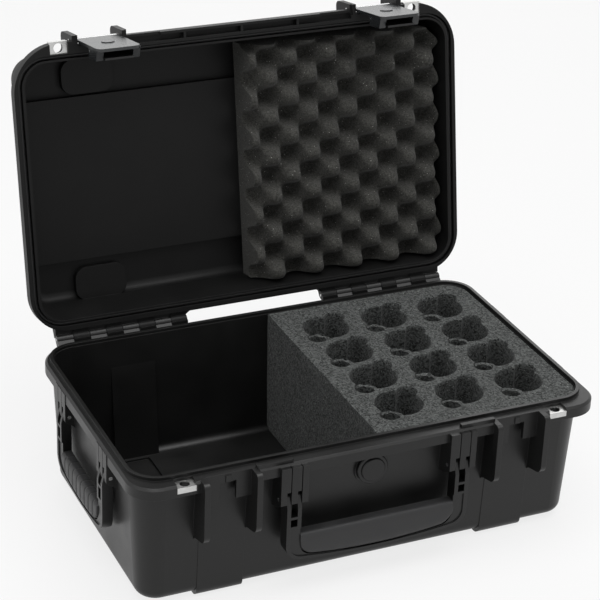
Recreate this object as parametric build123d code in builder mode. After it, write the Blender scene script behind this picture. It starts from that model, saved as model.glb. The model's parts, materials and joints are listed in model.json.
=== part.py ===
from build123d import *
import os
from math import atan2, degrees, radians, sqrt, tan

os.makedirs("parts", exist_ok=True)

# Microphone case, lid open. Millimetres. X runs along the length, -Y is the latch side, +Z is up.
# The origin is the middle of the tub's footprint on the ground. Lid pieces are drawn on planes of the
# closed case, which on_lid() turns about the hinge to the open pose.

# ------------------------------------------------------------------ driving dimensions: tub
tub_length = 534.0            # outside, at the rim
tub_width = 310.0
tub_height = 156.0            # rim down to the underside
tub_corner = 32.0
tub_bottom_round = 12.0
wall = 3.2
draft = 3.0                   # degrees, every tub wall leans inward going down

skid_x = 170.9                # middle of each skid, below the latch
skid_width = 53.0
skid_height = 5.0
skid_proud = 0.5              # how far the skid band stands off the front and back walls
channel_depth = 3.0           # hollow behind each skid, inside the tub
pier_x = 161.0                # wedge on the inside of the back wall, left of the middle
pier_width = 54.0
pier_foot = 10.0              # how far it stands off the wall at the floor
pier_height = 121.0           # above the floor, where it runs out flush

# ------------------------------------------------------------------ driving dimensions: rim
flange_side_reach = 8.2       # how far the flange stands out of the tub, at the ends
flange_front_reach = 16.5     # at the front
flange_back_reach = 8.5       # and at the back
flange_depth = 13.5
flange_edge = 2.5             # chamfer along the flange's upper edge
flange_front_corner = 32.0
flange_back_corner = 45.0
tongue_thickness = 4.0        # sealing ridge on the rim
tongue_height = 4.0
tongue_end_reach = 2.0        # outer foot of the ridge, beyond the tub at the ends
tongue_side_reach = 1.0       # and at the front and back
tongue_corner = 34.0

# ------------------------------------------------------------------ driving dimensions: latch bays
bay_width = 52.1              # clear width between two guard ribs
bay_recess = 6.0              # how far the flange steps back between them
rib_width = 6.5
rib_front = 182.0
rib_depth = 71.0              # how far the rib runs down from the rim
rib_foot = 13.0               # extra drop where the rib meets the wall
rib_round = 5.0
rib_nose = 11.0               # rounding of a rib's lower front corner
apron_depth = 32.0
apron_thickness = 4.0
notch_width = 18.0
notch_top = 10.0              # below the rim
post_width = 6.4
post_proud = 1.2
rest_bar_length = 41.0        # raised bar beside each bay
rest_bar_height = 4.0
rest_bar_depth = 5.0
rest_bar_inset = 2.0

# ------------------------------------------------------------------ driving dimensions: hinge
hinge_back = 7.9              # hinge axis behind the flange
hinge_rise = 1.9              # hinge axis above the rim
knuckle_radius = 4.6
knuckle_pitch = 20.0
knuckle_gap = 0.6
knuckle_count = 8
hinge_inner_x = 87.0          # inner end of each knuckle row
hinge_pin_radius = 1.6
pin_fit = 0.03                # radial clearance of a pin in the piece that holds it
turn_fit = 0.06               # radial clearance of a pin in a piece that turns
lid_open_angle = 100.2
heel_reach = 6.8              # stop heel of a lid knuckle
heel_width = 5.2
hinge_web_gap = 0.8           # under the lid's webs, above the level of the axis
hinge_web_rise = 7.2          # free edge of a web, from the axis
hinge_gusset = 11.0           # slanted inner end of the lid's webs
hinge_gusset_height = 6.0

# ------------------------------------------------------------------ driving dimensions: lid
lid_end_inset = 1.2           # how far the lid's flange stays behind the base's, at the ends
lid_front_inset = 1.5         # at the front
lid_back_inset = 1.0          # and at the back
lid_front_corner = 55.0
lid_back_corner = 45.0
lid_gap = 0.5                 # between the two rims when closed
lid_flange_depth = 12.5
dome_inset = 2.5              # of the dome from the tub's outside, all round
dome_top = 68.0               # above the rim
dome_draft = 4.0
dome_corner = 30.0
dome_round = 14.0
lid_side_gap = 0.4            # groove wall to tongue
groove_top = 9.0              # above the rim
seal_radius = 2.0
panel_front = 93.0            # sunk middle panel of the lid
panel_back = 94.0
panel_sink = 9.0              # also the depth of the corner pockets
pocket_length = 56.0          # corner pockets in line with the skids
pocket_reach = 34.0
pocket_back = 144.0
pocket_front = 136.0
pocket_corner = 11.0
rim_pocket_width = 6.7
rim_pocket_depth = 7.0
rim_pocket_length = 67.0
rim_divider = 3.0
ear_front = 176.5             # latch ears of the lid
ear_height = 42.0
ear_nose = 7.0

# ------------------------------------------------------------------ driving dimensions: latches
latch_width = 50.0
latch_pivot_y = 169.5
latch_pivot_rise = 14.0       # above the rim
latch_barrel_radius = 3.8
latch_pin_radius = 1.75
plate_thickness = 3.5
plate_inner_y = 167.2
plate_bottom = 67.0           # below the rim
plate_bend = 10.0             # below the rim, where the plate starts to lean toward its pivot
latch_corner = 8.0
thumb_disc_radius = 7.5       # raised disc on the plate
thumb_disc_rise = 1.0
thumb_disc_drop = 27.0        # below the rim
cheek_thickness = 8.0
cheek_gap = 1.0               # under the apron
cheek_bottom = 58.0
cheek_reach = 156.2
trigger_width = 33.0
trigger_pin_y = 164.4
trigger_pin_drop = 36.0
trigger_pin_radius = 1.25
trigger_hub_radius = 2.5
catch_bite = 1.1              # how far the lip reaches up behind the apron
lip_depth = 2.5
paddle_thickness = 2.4
paddle_setback = 2.4          # foot of the paddle, behind the hub's front
paddle_bow = 1.6
trigger_paddle_drop = 64.0
trigger_window = 14.0         # room in the hub for the spring
spring_wire = 0.4             # radius
spring_turns = 5
spring_radius = 2.0

# ------------------------------------------------------------------ driving dimensions: handles
finger_width = 7.0
leg_width = 4.5
leg_gap = 0.35                # on each side of a leg, between two fingers
slot_slit = 1.0               # slit beside the web that closes a slot above its leg
handle_pin_radius = 2.2
leg_round = 4.6
leg_flare = 10.0              # below the pivot, where a leg reaches its full depth
crossbar_height = 3.0
rim_bead = 2.6                # thin outer edge of a handle below its cushion
handle_corner = 18.0
arm_recess = 1.5              # sunk inner part of an arm, below its windows
handle_bow = 7.0              # how far the bottom edge bows down in the middle
core_height = 12.0
core_depth = 6.0
cushion_swell = 1.2           # cushion stands this far out of the frame on both faces
cushion_round = 4.5
ring_height = 1.2

front_leg_x = 99.75           # middle of each pair of front handle legs
front_pivot_y = 170.0
front_pivot_drop = 42.0
front_ear_front = 177.0
front_ear_drop = 54.0
front_handle_inner = 7.5      # from the pivot toward the wall
front_handle_outer = 8.0
front_grip_top = 86.0
front_grip_bottom = 122.0
front_crossbar_drop = 63.0
front_window_height = 9.0

side_leg_y = 68.5
side_pivot_reach = 4.0        # from the tub's end at the rim
side_pivot_drop = 32.0
side_ear_reach = 9.0
side_ear_drop = 44.0
side_handle_inner = 4.7       # from the pivot toward the wall
side_handle_outer = 7.3
side_grip_top = 78.0
side_grip_bottom = 109.0
side_crossbar_drop = 47.0
side_window_height = 14.0
side_ring_count = 9

# ------------------------------------------------------------------ driving dimensions: small parts
valve_drop = 36.0
valve_radius = 18.0
valve_thickness = 4.0
valve_cap_radius = 14.0
valve_cap_height = 2.0
valve_stem_radius = 5.5
valve_boss_proud = 2.0
valve_seal_radius = 0.9       # cord of the O-ring
valve_seal_middle = 8.0       # from the valve's axis to the middle of that cord
valve_nut_radius = 8.0
valve_nut_height = 5.0
seat_gap = 0.3                # between a soft or loose piece and its seat

padlock_x = 219.0
padlock_inset = 7.5           # hole's middle, behind the front of the base's flange
padlock_hole = 5.5
padlock_plate_width = 21.0
padlock_plate_margin = 6.5    # from the hole's middle to the plate's inner edge
padlock_plate_thickness = 1.5
padlock_sink = 3.0            # how deep the plates lie below the two rims
padlock_lip = 6.5
padlock_lead_in = 1.0         # how much wider than the plate's hole the moulded hole is

# ------------------------------------------------------------------ driving dimensions: foam
foam_left = 8.5               # left face of the well block
well_pitch_x = 75.3
well_pitch_y = 64.0
well_middle_y = 1.7
well_columns = 3
well_rows = 4
well_radius = 27.5
well_depth = 118.0
web_thickness = 2.4           # foam web between a well and its finger hole
web_drop = 1.5                # below the foam's top
finger_radius = 12.0
finger_offset = 20.0          # from a well's middle, in X and in Y
crate_left = 9.5
crate_front = 139.0           # from the middle of the case toward the latches
crate_hinge_side = 145.0      # and toward the hinge
crate_corner = 23.0           # right-hand corners, beside the lid's end wall
crate_base = 18.0             # thickness of the pad under its peaks
crate_peak = 35.0
crate_pitch_x = 25.5
crate_pitch_y = 47.0
crate_first_x = 11.0          # middle of the first column of peaks
crate_first_y = -145.5        # first row of the second column
crate_columns = 11
crate_rows = 7
crate_foot_radius = 16.0
crate_tip_radius = 6.0

# ------------------------------------------------------------------ derived sizes
rim_z = skid_height + tub_height
lean = tan(radians(draft))
flange_half_x = tub_length / 2 + flange_side_reach
flange_front = tub_width / 2 + flange_front_reach
flange_back = tub_width / 2 + flange_back_reach
tongue_half_x = tub_length / 2 + tongue_end_reach
tongue_half_y = tub_width / 2 + tongue_side_reach
lid_half_x = flange_half_x - lid_end_inset
bay_front = flange_front - bay_recess
lid_front = flange_front - lid_front_inset
lid_back = flange_back - lid_back_inset
dome_length = tub_length - 2 * dome_inset
dome_width = tub_width - 2 * dome_inset
side_pivot_x = tub_length / 2 + side_pivot_reach
side_ear_face = tub_length / 2 + side_ear_reach
hinge_y = flange_back + hinge_back
rib_centres = (skid_x - (bay_width + rib_width) / 2, skid_x + (bay_width + rib_width) / 2)
hinge_z = rim_z + hinge_rise
hinge_outer_x = hinge_inner_x + knuckle_count * knuckle_pitch
padlock_y = flange_front - padlock_inset
padlock_plate_back = padlock_y - padlock_plate_margin
plate_drop = padlock_sink + padlock_plate_thickness
slot_width = leg_width + 2 * leg_gap
well_middle_x = (foam_left + tub_length / 2 - wall) / 2
finger_pitch = finger_width + slot_width
ear_span = 3 * finger_width + 2 * slot_width
rim_face = rim_z + lid_gap    # the lid's rim on the closed case
sides = (("left", -1), ("right", 1))

open_turn = (
    Location((0, hinge_y, hinge_z), (-lid_open_angle, 0, 0)) * Location((0, -hinge_y, -hinge_z))
)


def on_lid(plane):
    """A plane drawn on the closed case, turned with the lid to its open pose."""
    return Plane(open_turn * plane.location)


def tub_wall_y(drop):
    """Outside of the tub's front or back wall, from the middle, at a depth below the rim."""
    return tub_width / 2 - drop * lean


def tub_wall_x(drop):
    """Outside of the tub's end wall, from the middle, at a depth below the rim."""
    return tub_length / 2 - drop * lean


valve_face = tub_wall_y(valve_drop) + valve_boss_proud
valve_inner_face = tub_wall_y(valve_drop + valve_nut_radius) - wall - valve_boss_proud / 2


def across(centre, width):
    """Planes at the lower X side of slices of one width, one slice either side of the case."""
    return [Plane.YZ.offset(side * centre - width / 2) for _, side in sides]


def rim_outline(half_x, front, back, front_corner, back_corner):
    """Outer outline of a rim, with its front and back corners rounded differently."""
    with BuildSketch(Plane.XY, mode=Mode.PRIVATE) as outline:
        with BuildLine():
            Polyline((-half_x, -front), (half_x, -front), (half_x, back), (-half_x, back), close=True)
        make_face()
        fillet(outline.vertices().group_by(Axis.Y)[0], front_corner)
        fillet(outline.vertices().group_by(Axis.Y)[-1], back_corner)
    return outline.sketch


def seal_ring(half_x, half_y, corner, inset, width):
    """A closed band of one width that follows the sealing ridge, inset from the ridge's foot."""
    outer = (2 * (half_x - inset), 2 * (half_y - inset), corner - inset)
    inner = (outer[0] - 2 * width, outer[1] - 2 * width, outer[2] - width)
    with BuildSketch(Plane.XY, mode=Mode.PRIVATE) as ring:
        RectangleRounded(*outer)
        RectangleRounded(*inner, mode=Mode.SUBTRACT)
    return ring.sketch


# ------------------------------------------------------------------ base shell
flange_rest = rim_outline(flange_half_x, flange_front, flange_back, flange_front_corner, flange_back_corner)

tongue_ring = seal_ring(tongue_half_x, tongue_half_y, tongue_corner, 0, tongue_thickness)

with BuildPart() as tub_cavity:
    with BuildSketch(Plane.XY.offset(rim_z)):
        RectangleRounded(tub_length - 2 * wall, tub_width - 2 * wall, tub_corner - wall)
    extrude(amount=-(tub_height - wall), taper=draft)
    fillet(tub_cavity.faces().sort_by(Axis.Z)[0].edges(), tub_bottom_round - wall)
    # channels behind the skids
    channel_half_y = tub_wall_y(tub_height) - tub_bottom_round - wall
    with BuildSketch(Plane.XY.offset(skid_height + wall)):
        with Locations((-skid_x, 0), (skid_x, 0)):
            RectangleRounded(skid_width - 2 * wall, 2 * channel_half_y, wall)
    extrude(amount=-channel_depth)
    # wedge on the back wall
    pier_top_drop = rim_z - skid_height - pier_height
    with BuildSketch(Plane.YZ.offset(-pier_x - pier_width / 2)):
        with BuildLine():
            Polyline(
                (tub_wall_y(tub_height) - wall - pier_foot, 0),
                (tub_wall_y(pier_top_drop) - wall, rim_z - pier_top_drop),
                (tub_width / 2, rim_z - pier_top_drop),
                (tub_width / 2, 0),
                close=True,
            )
        make_face()
    extrude(amount=pier_width, mode=Mode.SUBTRACT)

with BuildPart() as base_shell:
    # tub
    with BuildSketch(Plane.XY.offset(rim_z)):
        RectangleRounded(tub_length, tub_width, tub_corner)
    extrude(amount=-tub_height, taper=draft)
    fillet(base_shell.faces().sort_by(Axis.Z)[0].edges(), tub_bottom_round)

    # rim flange with a chamfered upper edge
    with BuildSketch(Plane.XY.offset(rim_z - flange_depth)):
        add(flange_rest)
    extrude(amount=flange_depth)
    flange_top = base_shell.faces().sort_by(Axis.Z)[-1]
    chamfer(flange_top.edges(), flange_edge)

    # skid bands: down the front wall, under the floor and up the back wall
    skid_run = tub_height - flange_depth / 2
    skid_low = tub_wall_y(tub_height) + skid_proud
    skid_high = tub_wall_y(flange_depth / 2) + skid_proud
    with BuildSketch(*across(skid_x, skid_width)) as skid_band:
        with BuildLine():
            Polyline(
                (-skid_low, 0), (skid_low, 0), (skid_high, skid_height + skid_run),
                (-skid_high, skid_height + skid_run), close=True,
            )
        make_face()
        fillet(skid_band.vertices().group_by(Axis.Y)[0], tub_bottom_round)
    extrude(amount=skid_width)

    # guard ribs on both sides of each latch bay
    for rib_centre in rib_centres:
        with BuildSketch(*across(rib_centre, rib_width)) as rib:
            with BuildLine():
                Polyline(
                    (-tub_wall_y(rib_depth) + wall, rim_z - rib_depth - rib_foot),
                    (-tub_wall_y(rib_depth) - rib_round, rim_z - rib_depth - rib_foot / 2),
                    (-rib_front, rim_z - rib_depth),
                    (-rib_front, rim_z),
                    (-tub_wall_y(0) + wall, rim_z),
                    close=True,
                )
            make_face()
            fillet(rib.vertices().group_by(Axis.X)[0].sort_by(Axis.Y)[0], rib_nose)
            fillet(rib.vertices().group_by(Axis.X)[0].sort_by(Axis.Y)[-1], rib_round)
        extrude(amount=rib_width)

    # latch bays set back in the flange, each with its catch apron, a notch and a guide post
    with BuildSketch(Plane.XY.offset(rim_z)):
        for _, side in sides:
            with Locations((side * skid_x, -bay_front)):
                Rectangle(bay_width, rib_front - bay_front, align=(Align.CENTER, Align.MAX))
    extrude(amount=-apron_depth, mode=Mode.SUBTRACT)
    with BuildSketch(*across(skid_x, bay_width)):
        with Locations((-bay_front + apron_thickness / 2, rim_z - (flange_edge + apron_depth) / 2)):
            Rectangle(apron_thickness, apron_depth - flange_edge)
    extrude(amount=bay_width)
    with BuildSketch(Plane.XZ.offset(bay_front - apron_thickness)):
        with Locations((-skid_x, rim_z - notch_top), (skid_x, rim_z - notch_top)):
            RectangleRounded(
                notch_width, apron_depth, notch_width / 2 - wall, align=(Align.CENTER, Align.MAX)
            )
            with Locations((0, -apron_depth)):
                Rectangle(notch_width, apron_depth, align=(Align.CENTER, Align.MIN))
                RectangleRounded(notch_width, apron_depth, 2 * wall, align=(Align.CENTER, Align.MIN))
    extrude(amount=apron_thickness + skid_proud, mode=Mode.SUBTRACT)
    with BuildSketch(*across(skid_x, post_width)):
        with Locations((-bay_front, rim_z - (flange_edge + notch_top) / 2)):
            Rectangle(2 * post_proud, notch_top - flange_edge)
    extrude(amount=post_width)

    # raised rest bars beside the bays
    rest_bar_x = rib_centres[0] - rib_width / 2 + rest_bar_inset - rest_bar_length / 2
    with BuildSketch(*across(rest_bar_x, rest_bar_length)):
        with Locations((-flange_front + rest_bar_inset + rest_bar_depth / 2, rim_z)):
            Rectangle(rest_bar_depth, 2 * rest_bar_height)
    extrude(amount=rest_bar_length)

    # front handle ears: three fingers under each end of the handle
    for finger in (-1, 0, 1):
        with BuildSketch(*across(front_leg_x + finger * finger_pitch, finger_width)) as ear:
            with BuildLine():
                Polyline(
                    (-tub_wall_y(front_ear_drop) + wall, rim_z - front_ear_drop - rib_round),
                    (-front_pivot_y + leg_round, rim_z - front_ear_drop),
                    (-front_ear_front, rim_z - front_pivot_drop - rib_round),
                    (-front_ear_front, rim_z - flange_edge),
                    (-tub_wall_y(0) + wall, rim_z - flange_edge),
                    close=True,
                )
            make_face()
        extrude(amount=finger_width)

    # side handle ears on both ends
    side_profile = [
        (tub_wall_x(side_ear_drop) - wall, rim_z - side_ear_drop - rib_round),
        (side_pivot_x - leg_round, rim_z - side_ear_drop),
        (side_ear_face, rim_z - side_pivot_drop - rib_round),
        (side_ear_face, rim_z - flange_edge),
        (tub_wall_x(0) - wall, rim_z - flange_edge),
    ]
    for finger in (-1, 0, 1):
        finger_y = side_leg_y + finger * finger_pitch
        for _, end in sides:
            slices = [Plane.XZ.offset(-edge * finger_y - finger_width / 2) for _, edge in sides]
            with BuildSketch(*slices):
                with BuildLine():
                    Polyline(*[(end * x, z) for x, z in side_profile], close=True)
                make_face()
            extrude(amount=finger_width)

    # webs that close the ears' slots above the legs, each with a narrow slit beside it
    front_web_drop = front_pivot_drop - leg_flare
    side_web_drop = side_pivot_drop - leg_flare
    for _, side in sides:
        for step in (-1, 1):
            slot_start = (step * finger_pitch - slot_width) / 2
            with BuildSketch(Plane.YZ.offset(side * front_leg_x + slot_start)):
                with BuildLine():
                    Polyline(
                        (-tub_wall_y(front_web_drop) + wall, rim_z - front_web_drop),
                        (-front_ear_front, rim_z - front_web_drop),
                        (-front_ear_front, rim_z - flange_edge),
                        (-tub_wall_y(0) + wall, rim_z - flange_edge),
                        close=True,
                    )
                make_face()
            extrude(amount=slot_width - slot_slit)
            for _, end in sides:
                slot_plane = Plane.XZ.offset(-side * side_leg_y - slot_start - slot_width + slot_slit)
                with BuildSketch(slot_plane):
                    with BuildLine():
                        Polyline(
                            (end * (tub_wall_x(side_web_drop) - wall), rim_z - side_web_drop),
                            (end * side_ear_face, rim_z - side_web_drop),
                            (end * side_ear_face, rim_z - flange_edge),
                            (end * (tub_wall_x(0) - wall), rim_z - flange_edge),
                            close=True,
                        )
                    make_face()
                extrude(amount=slot_width - slot_slit)

    # valve boss on the front wall
    with BuildSketch(Plane.XZ.offset(valve_face)):
        with Locations((0, rim_z - valve_drop)):
            Circle(valve_radius + valve_boss_proud)
    extrude(amount=-(valve_boss_proud + wall))

    # hinge knuckles, every second place from the outer end
    base_knuckles = [
        hinge_outer_x - (place + 0.5) * knuckle_pitch for place in range(0, knuckle_count, 2)
    ]
    knuckle_width = knuckle_pitch - knuckle_gap
    for knuckle_x in base_knuckles:
        with BuildSketch(*across(knuckle_x, knuckle_width)):
            with BuildLine():
                Polyline(
                    (flange_back - flange_edge, rim_z - flange_depth),
                    (flange_back - flange_edge, rim_z - flange_edge),
                    (hinge_y - knuckle_radius, hinge_z),
                    (hinge_y + knuckle_radius, hinge_z),
                    (hinge_y + knuckle_radius / 2, hinge_z - knuckle_radius),
                    (flange_back, rim_z - flange_depth),
                    close=True,
                )
            make_face()
            with Locations((hinge_y, hinge_z)):
                Circle(knuckle_radius)
        extrude(amount=knuckle_width)

    # sealing ridge
    with BuildSketch(Plane.XY.offset(rim_z - flange_edge)):
        add(tongue_ring)
    extrude(amount=tongue_height + flange_edge)

    # hollow, then the flat seat of the valve's nut inside it
    add(tub_cavity.part, mode=Mode.SUBTRACT)
    with BuildSketch(Plane.XZ.offset(valve_inner_face)):
        with Locations((0, rim_z - valve_drop)):
            Circle(valve_nut_radius)
    extrude(amount=wall)

    # pin holes, valve hole and padlock holes
    for _, side in sides:
        hinge_bore = Plane.YZ.offset(side * hinge_inner_x if side > 0 else -hinge_outer_x)
        with BuildSketch(hinge_bore):
            with Locations((hinge_y, hinge_z)):
                Circle(hinge_pin_radius + pin_fit)
        extrude(amount=hinge_outer_x - hinge_inner_x, mode=Mode.SUBTRACT)
    with BuildSketch(*across(front_leg_x, ear_span)):
        with Locations((-front_pivot_y, rim_z - front_pivot_drop)):
            Circle(handle_pin_radius + pin_fit)
    extrude(amount=ear_span, mode=Mode.SUBTRACT)
    for _, edge in sides:
        with BuildSketch(Plane.XZ.offset(-edge * side_leg_y - ear_span / 2)):
            with Locations(*[(end * side_pivot_x, rim_z - side_pivot_drop) for _, end in sides]):
                Circle(handle_pin_radius + pin_fit)
        extrude(amount=ear_span, mode=Mode.SUBTRACT)
    with BuildSketch(Plane.XZ.offset(valve_face)):
        with Locations((0, rim_z - valve_drop)):
            Circle(valve_stem_radius + pin_fit)
    extrude(amount=-(valve_boss_proud + 3 * wall), mode=Mode.SUBTRACT)
    with BuildSketch(Plane.XY.offset(rim_z)):
        with Locations((-padlock_x, -padlock_y), (padlock_x, -padlock_y)):
            Circle(padlock_hole + padlock_lead_in)
    extrude(amount=-2 * flange_depth, mode=Mode.SUBTRACT)
    # seats of the padlock plates: under the plate, and behind its lip
    padlock_seat_width = padlock_plate_width + 2 * pin_fit
    lip_back = flange_front - padlock_plate_thickness
    for seat_back, seat_drop in (
        (padlock_plate_back, plate_drop), (lip_back, padlock_sink + padlock_lip)
    ):
        with BuildSketch(Plane.XY.offset(rim_z - seat_drop)):
            for _, side in sides:
                with Locations((side * padlock_x, -seat_back)):
                    Rectangle(padlock_seat_width, padlock_inset + seat_gap + padlock_plate_margin,
                              align=(Align.CENTER, Align.MAX))
        extrude(amount=seat_drop + tongue_height, mode=Mode.SUBTRACT)

base_shell.part.label = "base_shell"
export_step(base_shell.part, "parts/base_shell.step")

# ------------------------------------------------------------------ lid shell
lid_rest = rim_outline(lid_half_x, lid_front, lid_back, lid_front_corner, lid_back_corner)
lid_up = Axis((0, hinge_y, hinge_z), on_lid(Plane.XY).z_dir)
ceiling = rim_z + dome_top - wall
panel_face = ceiling - panel_sink     # inner face of the sunk panel and of the pockets
pocket_middle_x = skid_x
pocket_middles_y = (pocket_back - pocket_reach / 2, -pocket_front + pocket_reach / 2)
panel_middle_y = (panel_back - panel_front) / 2
panel_width = panel_back + panel_front


def sunk_areas(extra):
    """The sunk middle panel and the four corner pockets, grown on every side."""
    with BuildSketch(Plane.XY, mode=Mode.PRIVATE) as areas:
        with Locations((0, panel_middle_y)):
            Rectangle(dome_length, panel_width + 2 * extra)
        for pocket_y in pocket_middles_y:
            with Locations((-pocket_middle_x, pocket_y), (pocket_middle_x, pocket_y)):
                RectangleRounded(
                    pocket_length + 2 * extra, pocket_reach + 2 * extra, pocket_corner + extra
                )
    return areas.sketch


groove_width = tongue_thickness + 2 * lid_side_gap
groove_ring = seal_ring(tongue_half_x, tongue_half_y, tongue_corner, -lid_side_gap, groove_width)
sunk_outside = sunk_areas(0)
sunk_inside = sunk_areas(wall)

with BuildPart() as lid_cavity:
    with BuildSketch(on_lid(Plane.XY.offset(rim_face))):
        RectangleRounded(dome_length - 2 * wall, dome_width - 2 * wall, dome_corner - wall)
    extrude(amount=ceiling - rim_face, taper=dome_draft)
    fillet(lid_cavity.faces().sort_by(lid_up)[-1].edges(), dome_round - wall)
    with BuildSketch(on_lid(Plane.XY.offset(panel_face))):
        add(sunk_inside)
    extrude(amount=panel_sink + wall, mode=Mode.SUBTRACT)

with BuildPart() as lid_shell:
    # dome
    with BuildSketch(on_lid(Plane.XY.offset(rim_face))):
        RectangleRounded(dome_length, dome_width, dome_corner)
    extrude(amount=dome_top - lid_gap, taper=dome_draft)
    fillet(lid_shell.faces().sort_by(lid_up)[-1].edges(), dome_round)
    with BuildSketch(on_lid(Plane.XY.offset(panel_face + wall))):
        add(sunk_outside)
    extrude(amount=panel_sink + wall, mode=Mode.SUBTRACT)

    # rim flange
    with BuildSketch(on_lid(Plane.XY.offset(rim_face))):
        add(lid_rest)
    extrude(amount=lid_flange_depth)

    # latch ears
    ear_top = rim_z + ear_height
    ear_bulge = ear_nose * (1 - sqrt(2) / 2)
    for rib_centre in rib_centres:
        with BuildSketch(*[on_lid(plane) for plane in across(rib_centre, rib_width)]):
            with BuildLine():
                Polyline(
                    (-ear_front + ear_nose, ear_top),
                    (-dome_width / 2 + 2 * wall, ear_top),
                    (-dome_width / 2 + wall, rim_face),
                    (-ear_front, rim_face),
                    (-ear_front, ear_top - ear_nose),
                )
                ThreePointArc(
                    (-ear_front, ear_top - ear_nose),
                    (-ear_front + ear_bulge, ear_top - ear_bulge),
                    (-ear_front + ear_nose, ear_top),
                )
            make_face()
        extrude(amount=rib_width)

    # hinge knuckles between the base's, each with the heel that stops the lid
    lid_knuckles = [
        hinge_outer_x - (place + 0.5) * knuckle_pitch for place in range(1, knuckle_count, 2)
    ]
    for knuckle_x in lid_knuckles:
        with BuildSketch(*[on_lid(plane) for plane in across(knuckle_x, knuckle_width)]):
            with BuildLine():
                Polyline(
                    (lid_back - wall, rim_face),
                    (hinge_y - knuckle_radius, hinge_z),
                    (hinge_y + knuckle_radius, hinge_z),
                    (hinge_y + knuckle_radius / 2, hinge_z + knuckle_radius),
                    (lid_back, rim_face + lid_flange_depth),
                    (lid_back - wall, rim_face + lid_flange_depth),
                    close=True,
                )
            make_face()
            with Locations((hinge_y, hinge_z)):
                Circle(knuckle_radius)
                Rectangle(heel_width, heel_reach, align=(Align.MIN, Align.MAX))
        extrude(amount=knuckle_width)
    # webs over the base's knuckles, hollowed around them, and the gusset at the inner end
    for knuckle_x in base_knuckles:
        with BuildSketch(*[on_lid(plane) for plane in across(knuckle_x, knuckle_pitch)]):
            with BuildLine():
                Polyline(
                    (lid_back - wall, hinge_z + hinge_web_gap),
                    (hinge_y - knuckle_radius, hinge_z + hinge_web_gap),
                    (hinge_y, hinge_z + hinge_web_rise),
                    (lid_back, rim_face + lid_flange_depth),
                    (lid_back - wall, rim_face + lid_flange_depth),
                    close=True,
                )
            make_face()
            with Locations((hinge_y, hinge_z)):
                Circle(knuckle_radius + knuckle_gap, mode=Mode.SUBTRACT)
        extrude(amount=knuckle_pitch)
    with BuildSketch(on_lid(Plane.XY.offset(hinge_z + hinge_web_gap))):
        for _, side in sides:
            with BuildLine():
                Polyline(
                    (side * hinge_inner_x, hinge_y - knuckle_radius),
                    (side * hinge_inner_x, lid_back - wall),
                    (side * (hinge_inner_x - hinge_gusset), lid_back - wall),
                    close=True,
                )
            make_face()
    extrude(amount=hinge_gusset_height)

    # hollow and seal groove
    add(lid_cavity.part, mode=Mode.SUBTRACT)
    with BuildSketch(on_lid(Plane.XY.offset(rim_face))):
        add(groove_ring)
    extrude(amount=groove_top - lid_gap, mode=Mode.SUBTRACT)

    # pockets along the front rim, with dividers between them
    rim_pocket_y = lid_front - wall - rim_pocket_width / 2
    rim_pocket_pitch = rim_pocket_length + rim_divider
    with BuildSketch(on_lid(Plane.XY.offset(rim_face))):
        with Locations((0, -rim_pocket_y)):
            with GridLocations(rim_pocket_pitch, 0, 4, 1):
                Rectangle(rim_pocket_length, rim_pocket_width)
    extrude(amount=rim_pocket_depth, mode=Mode.SUBTRACT)

    # notches over the rest bars, and the latch bays
    notch_back = flange_front - rest_bar_inset - rest_bar_depth - seat_gap
    with BuildSketch(on_lid(Plane.XY.offset(rim_face))):
        for _, side in sides:
            with Locations((side * rest_bar_x, -notch_back)):
                Rectangle(rest_bar_length + 2 * seat_gap, rib_front, align=(Align.CENTER, Align.MAX))
    extrude(amount=rest_bar_height, mode=Mode.SUBTRACT)
    bay_back = latch_pivot_y - latch_barrel_radius - 2 * seat_gap
    with BuildSketch(on_lid(Plane.XY.offset(rim_face))):
        for _, side in sides:
            with Locations((side * skid_x, -bay_back)):
                Rectangle(bay_width, rib_front, align=(Align.CENTER, Align.MAX))
    extrude(amount=ear_height, mode=Mode.SUBTRACT)

    # pin holes and padlock holes
    for _, side in sides:
        with BuildSketch(on_lid(Plane.YZ.offset(side * hinge_inner_x if side > 0 else -hinge_outer_x))):
            with Locations((hinge_y, hinge_z)):
                Circle(hinge_pin_radius + turn_fit)
        extrude(amount=hinge_outer_x - hinge_inner_x, mode=Mode.SUBTRACT)
    ear_outer_width = bay_width + 2 * rib_width
    with BuildSketch(*[on_lid(plane) for plane in across(skid_x, ear_outer_width)]):
        with Locations((-latch_pivot_y, rim_z + latch_pivot_rise)):
            Circle(latch_pin_radius + pin_fit)
    extrude(amount=ear_outer_width, mode=Mode.SUBTRACT)
    with BuildSketch(on_lid(Plane.XY.offset(rim_face))):
        with Locations((-padlock_x, -padlock_y), (padlock_x, -padlock_y)):
            Circle(padlock_hole + padlock_lead_in)
    extrude(amount=2 * lid_flange_depth, mode=Mode.SUBTRACT)
    # seats of the padlock plates, whose lips lie in front of the flange
    with BuildSketch(on_lid(Plane.XY.offset(rim_face))):
        for _, side in sides:
            with Locations((side * padlock_x, -padlock_plate_back)):
                Rectangle(padlock_seat_width, padlock_inset + seat_gap + padlock_plate_margin,
                          align=(Align.CENTER, Align.MAX))
    extrude(amount=plate_drop, mode=Mode.SUBTRACT)

lid_shell.part.label = "lid_shell"
export_step(lid_shell.part, "parts/lid_shell.step")

# ------------------------------------------------------------------ lid gasket
gasket_inset = seat_gap - lid_side_gap
gasket_width = tongue_thickness + 2 * (lid_side_gap - seat_gap)
gasket_low = tongue_height + seat_gap
gasket_ring = seal_ring(tongue_half_x, tongue_half_y, tongue_corner, gasket_inset, gasket_width)
with BuildPart() as lid_gasket:
    with BuildSketch(on_lid(Plane.XY.offset(rim_z + gasket_low))):
        add(gasket_ring)
    extrude(amount=groove_top - gasket_low)
lid_gasket.part.label = "lid_gasket"
export_step(lid_gasket.part, "parts/lid_gasket.step")

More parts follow.
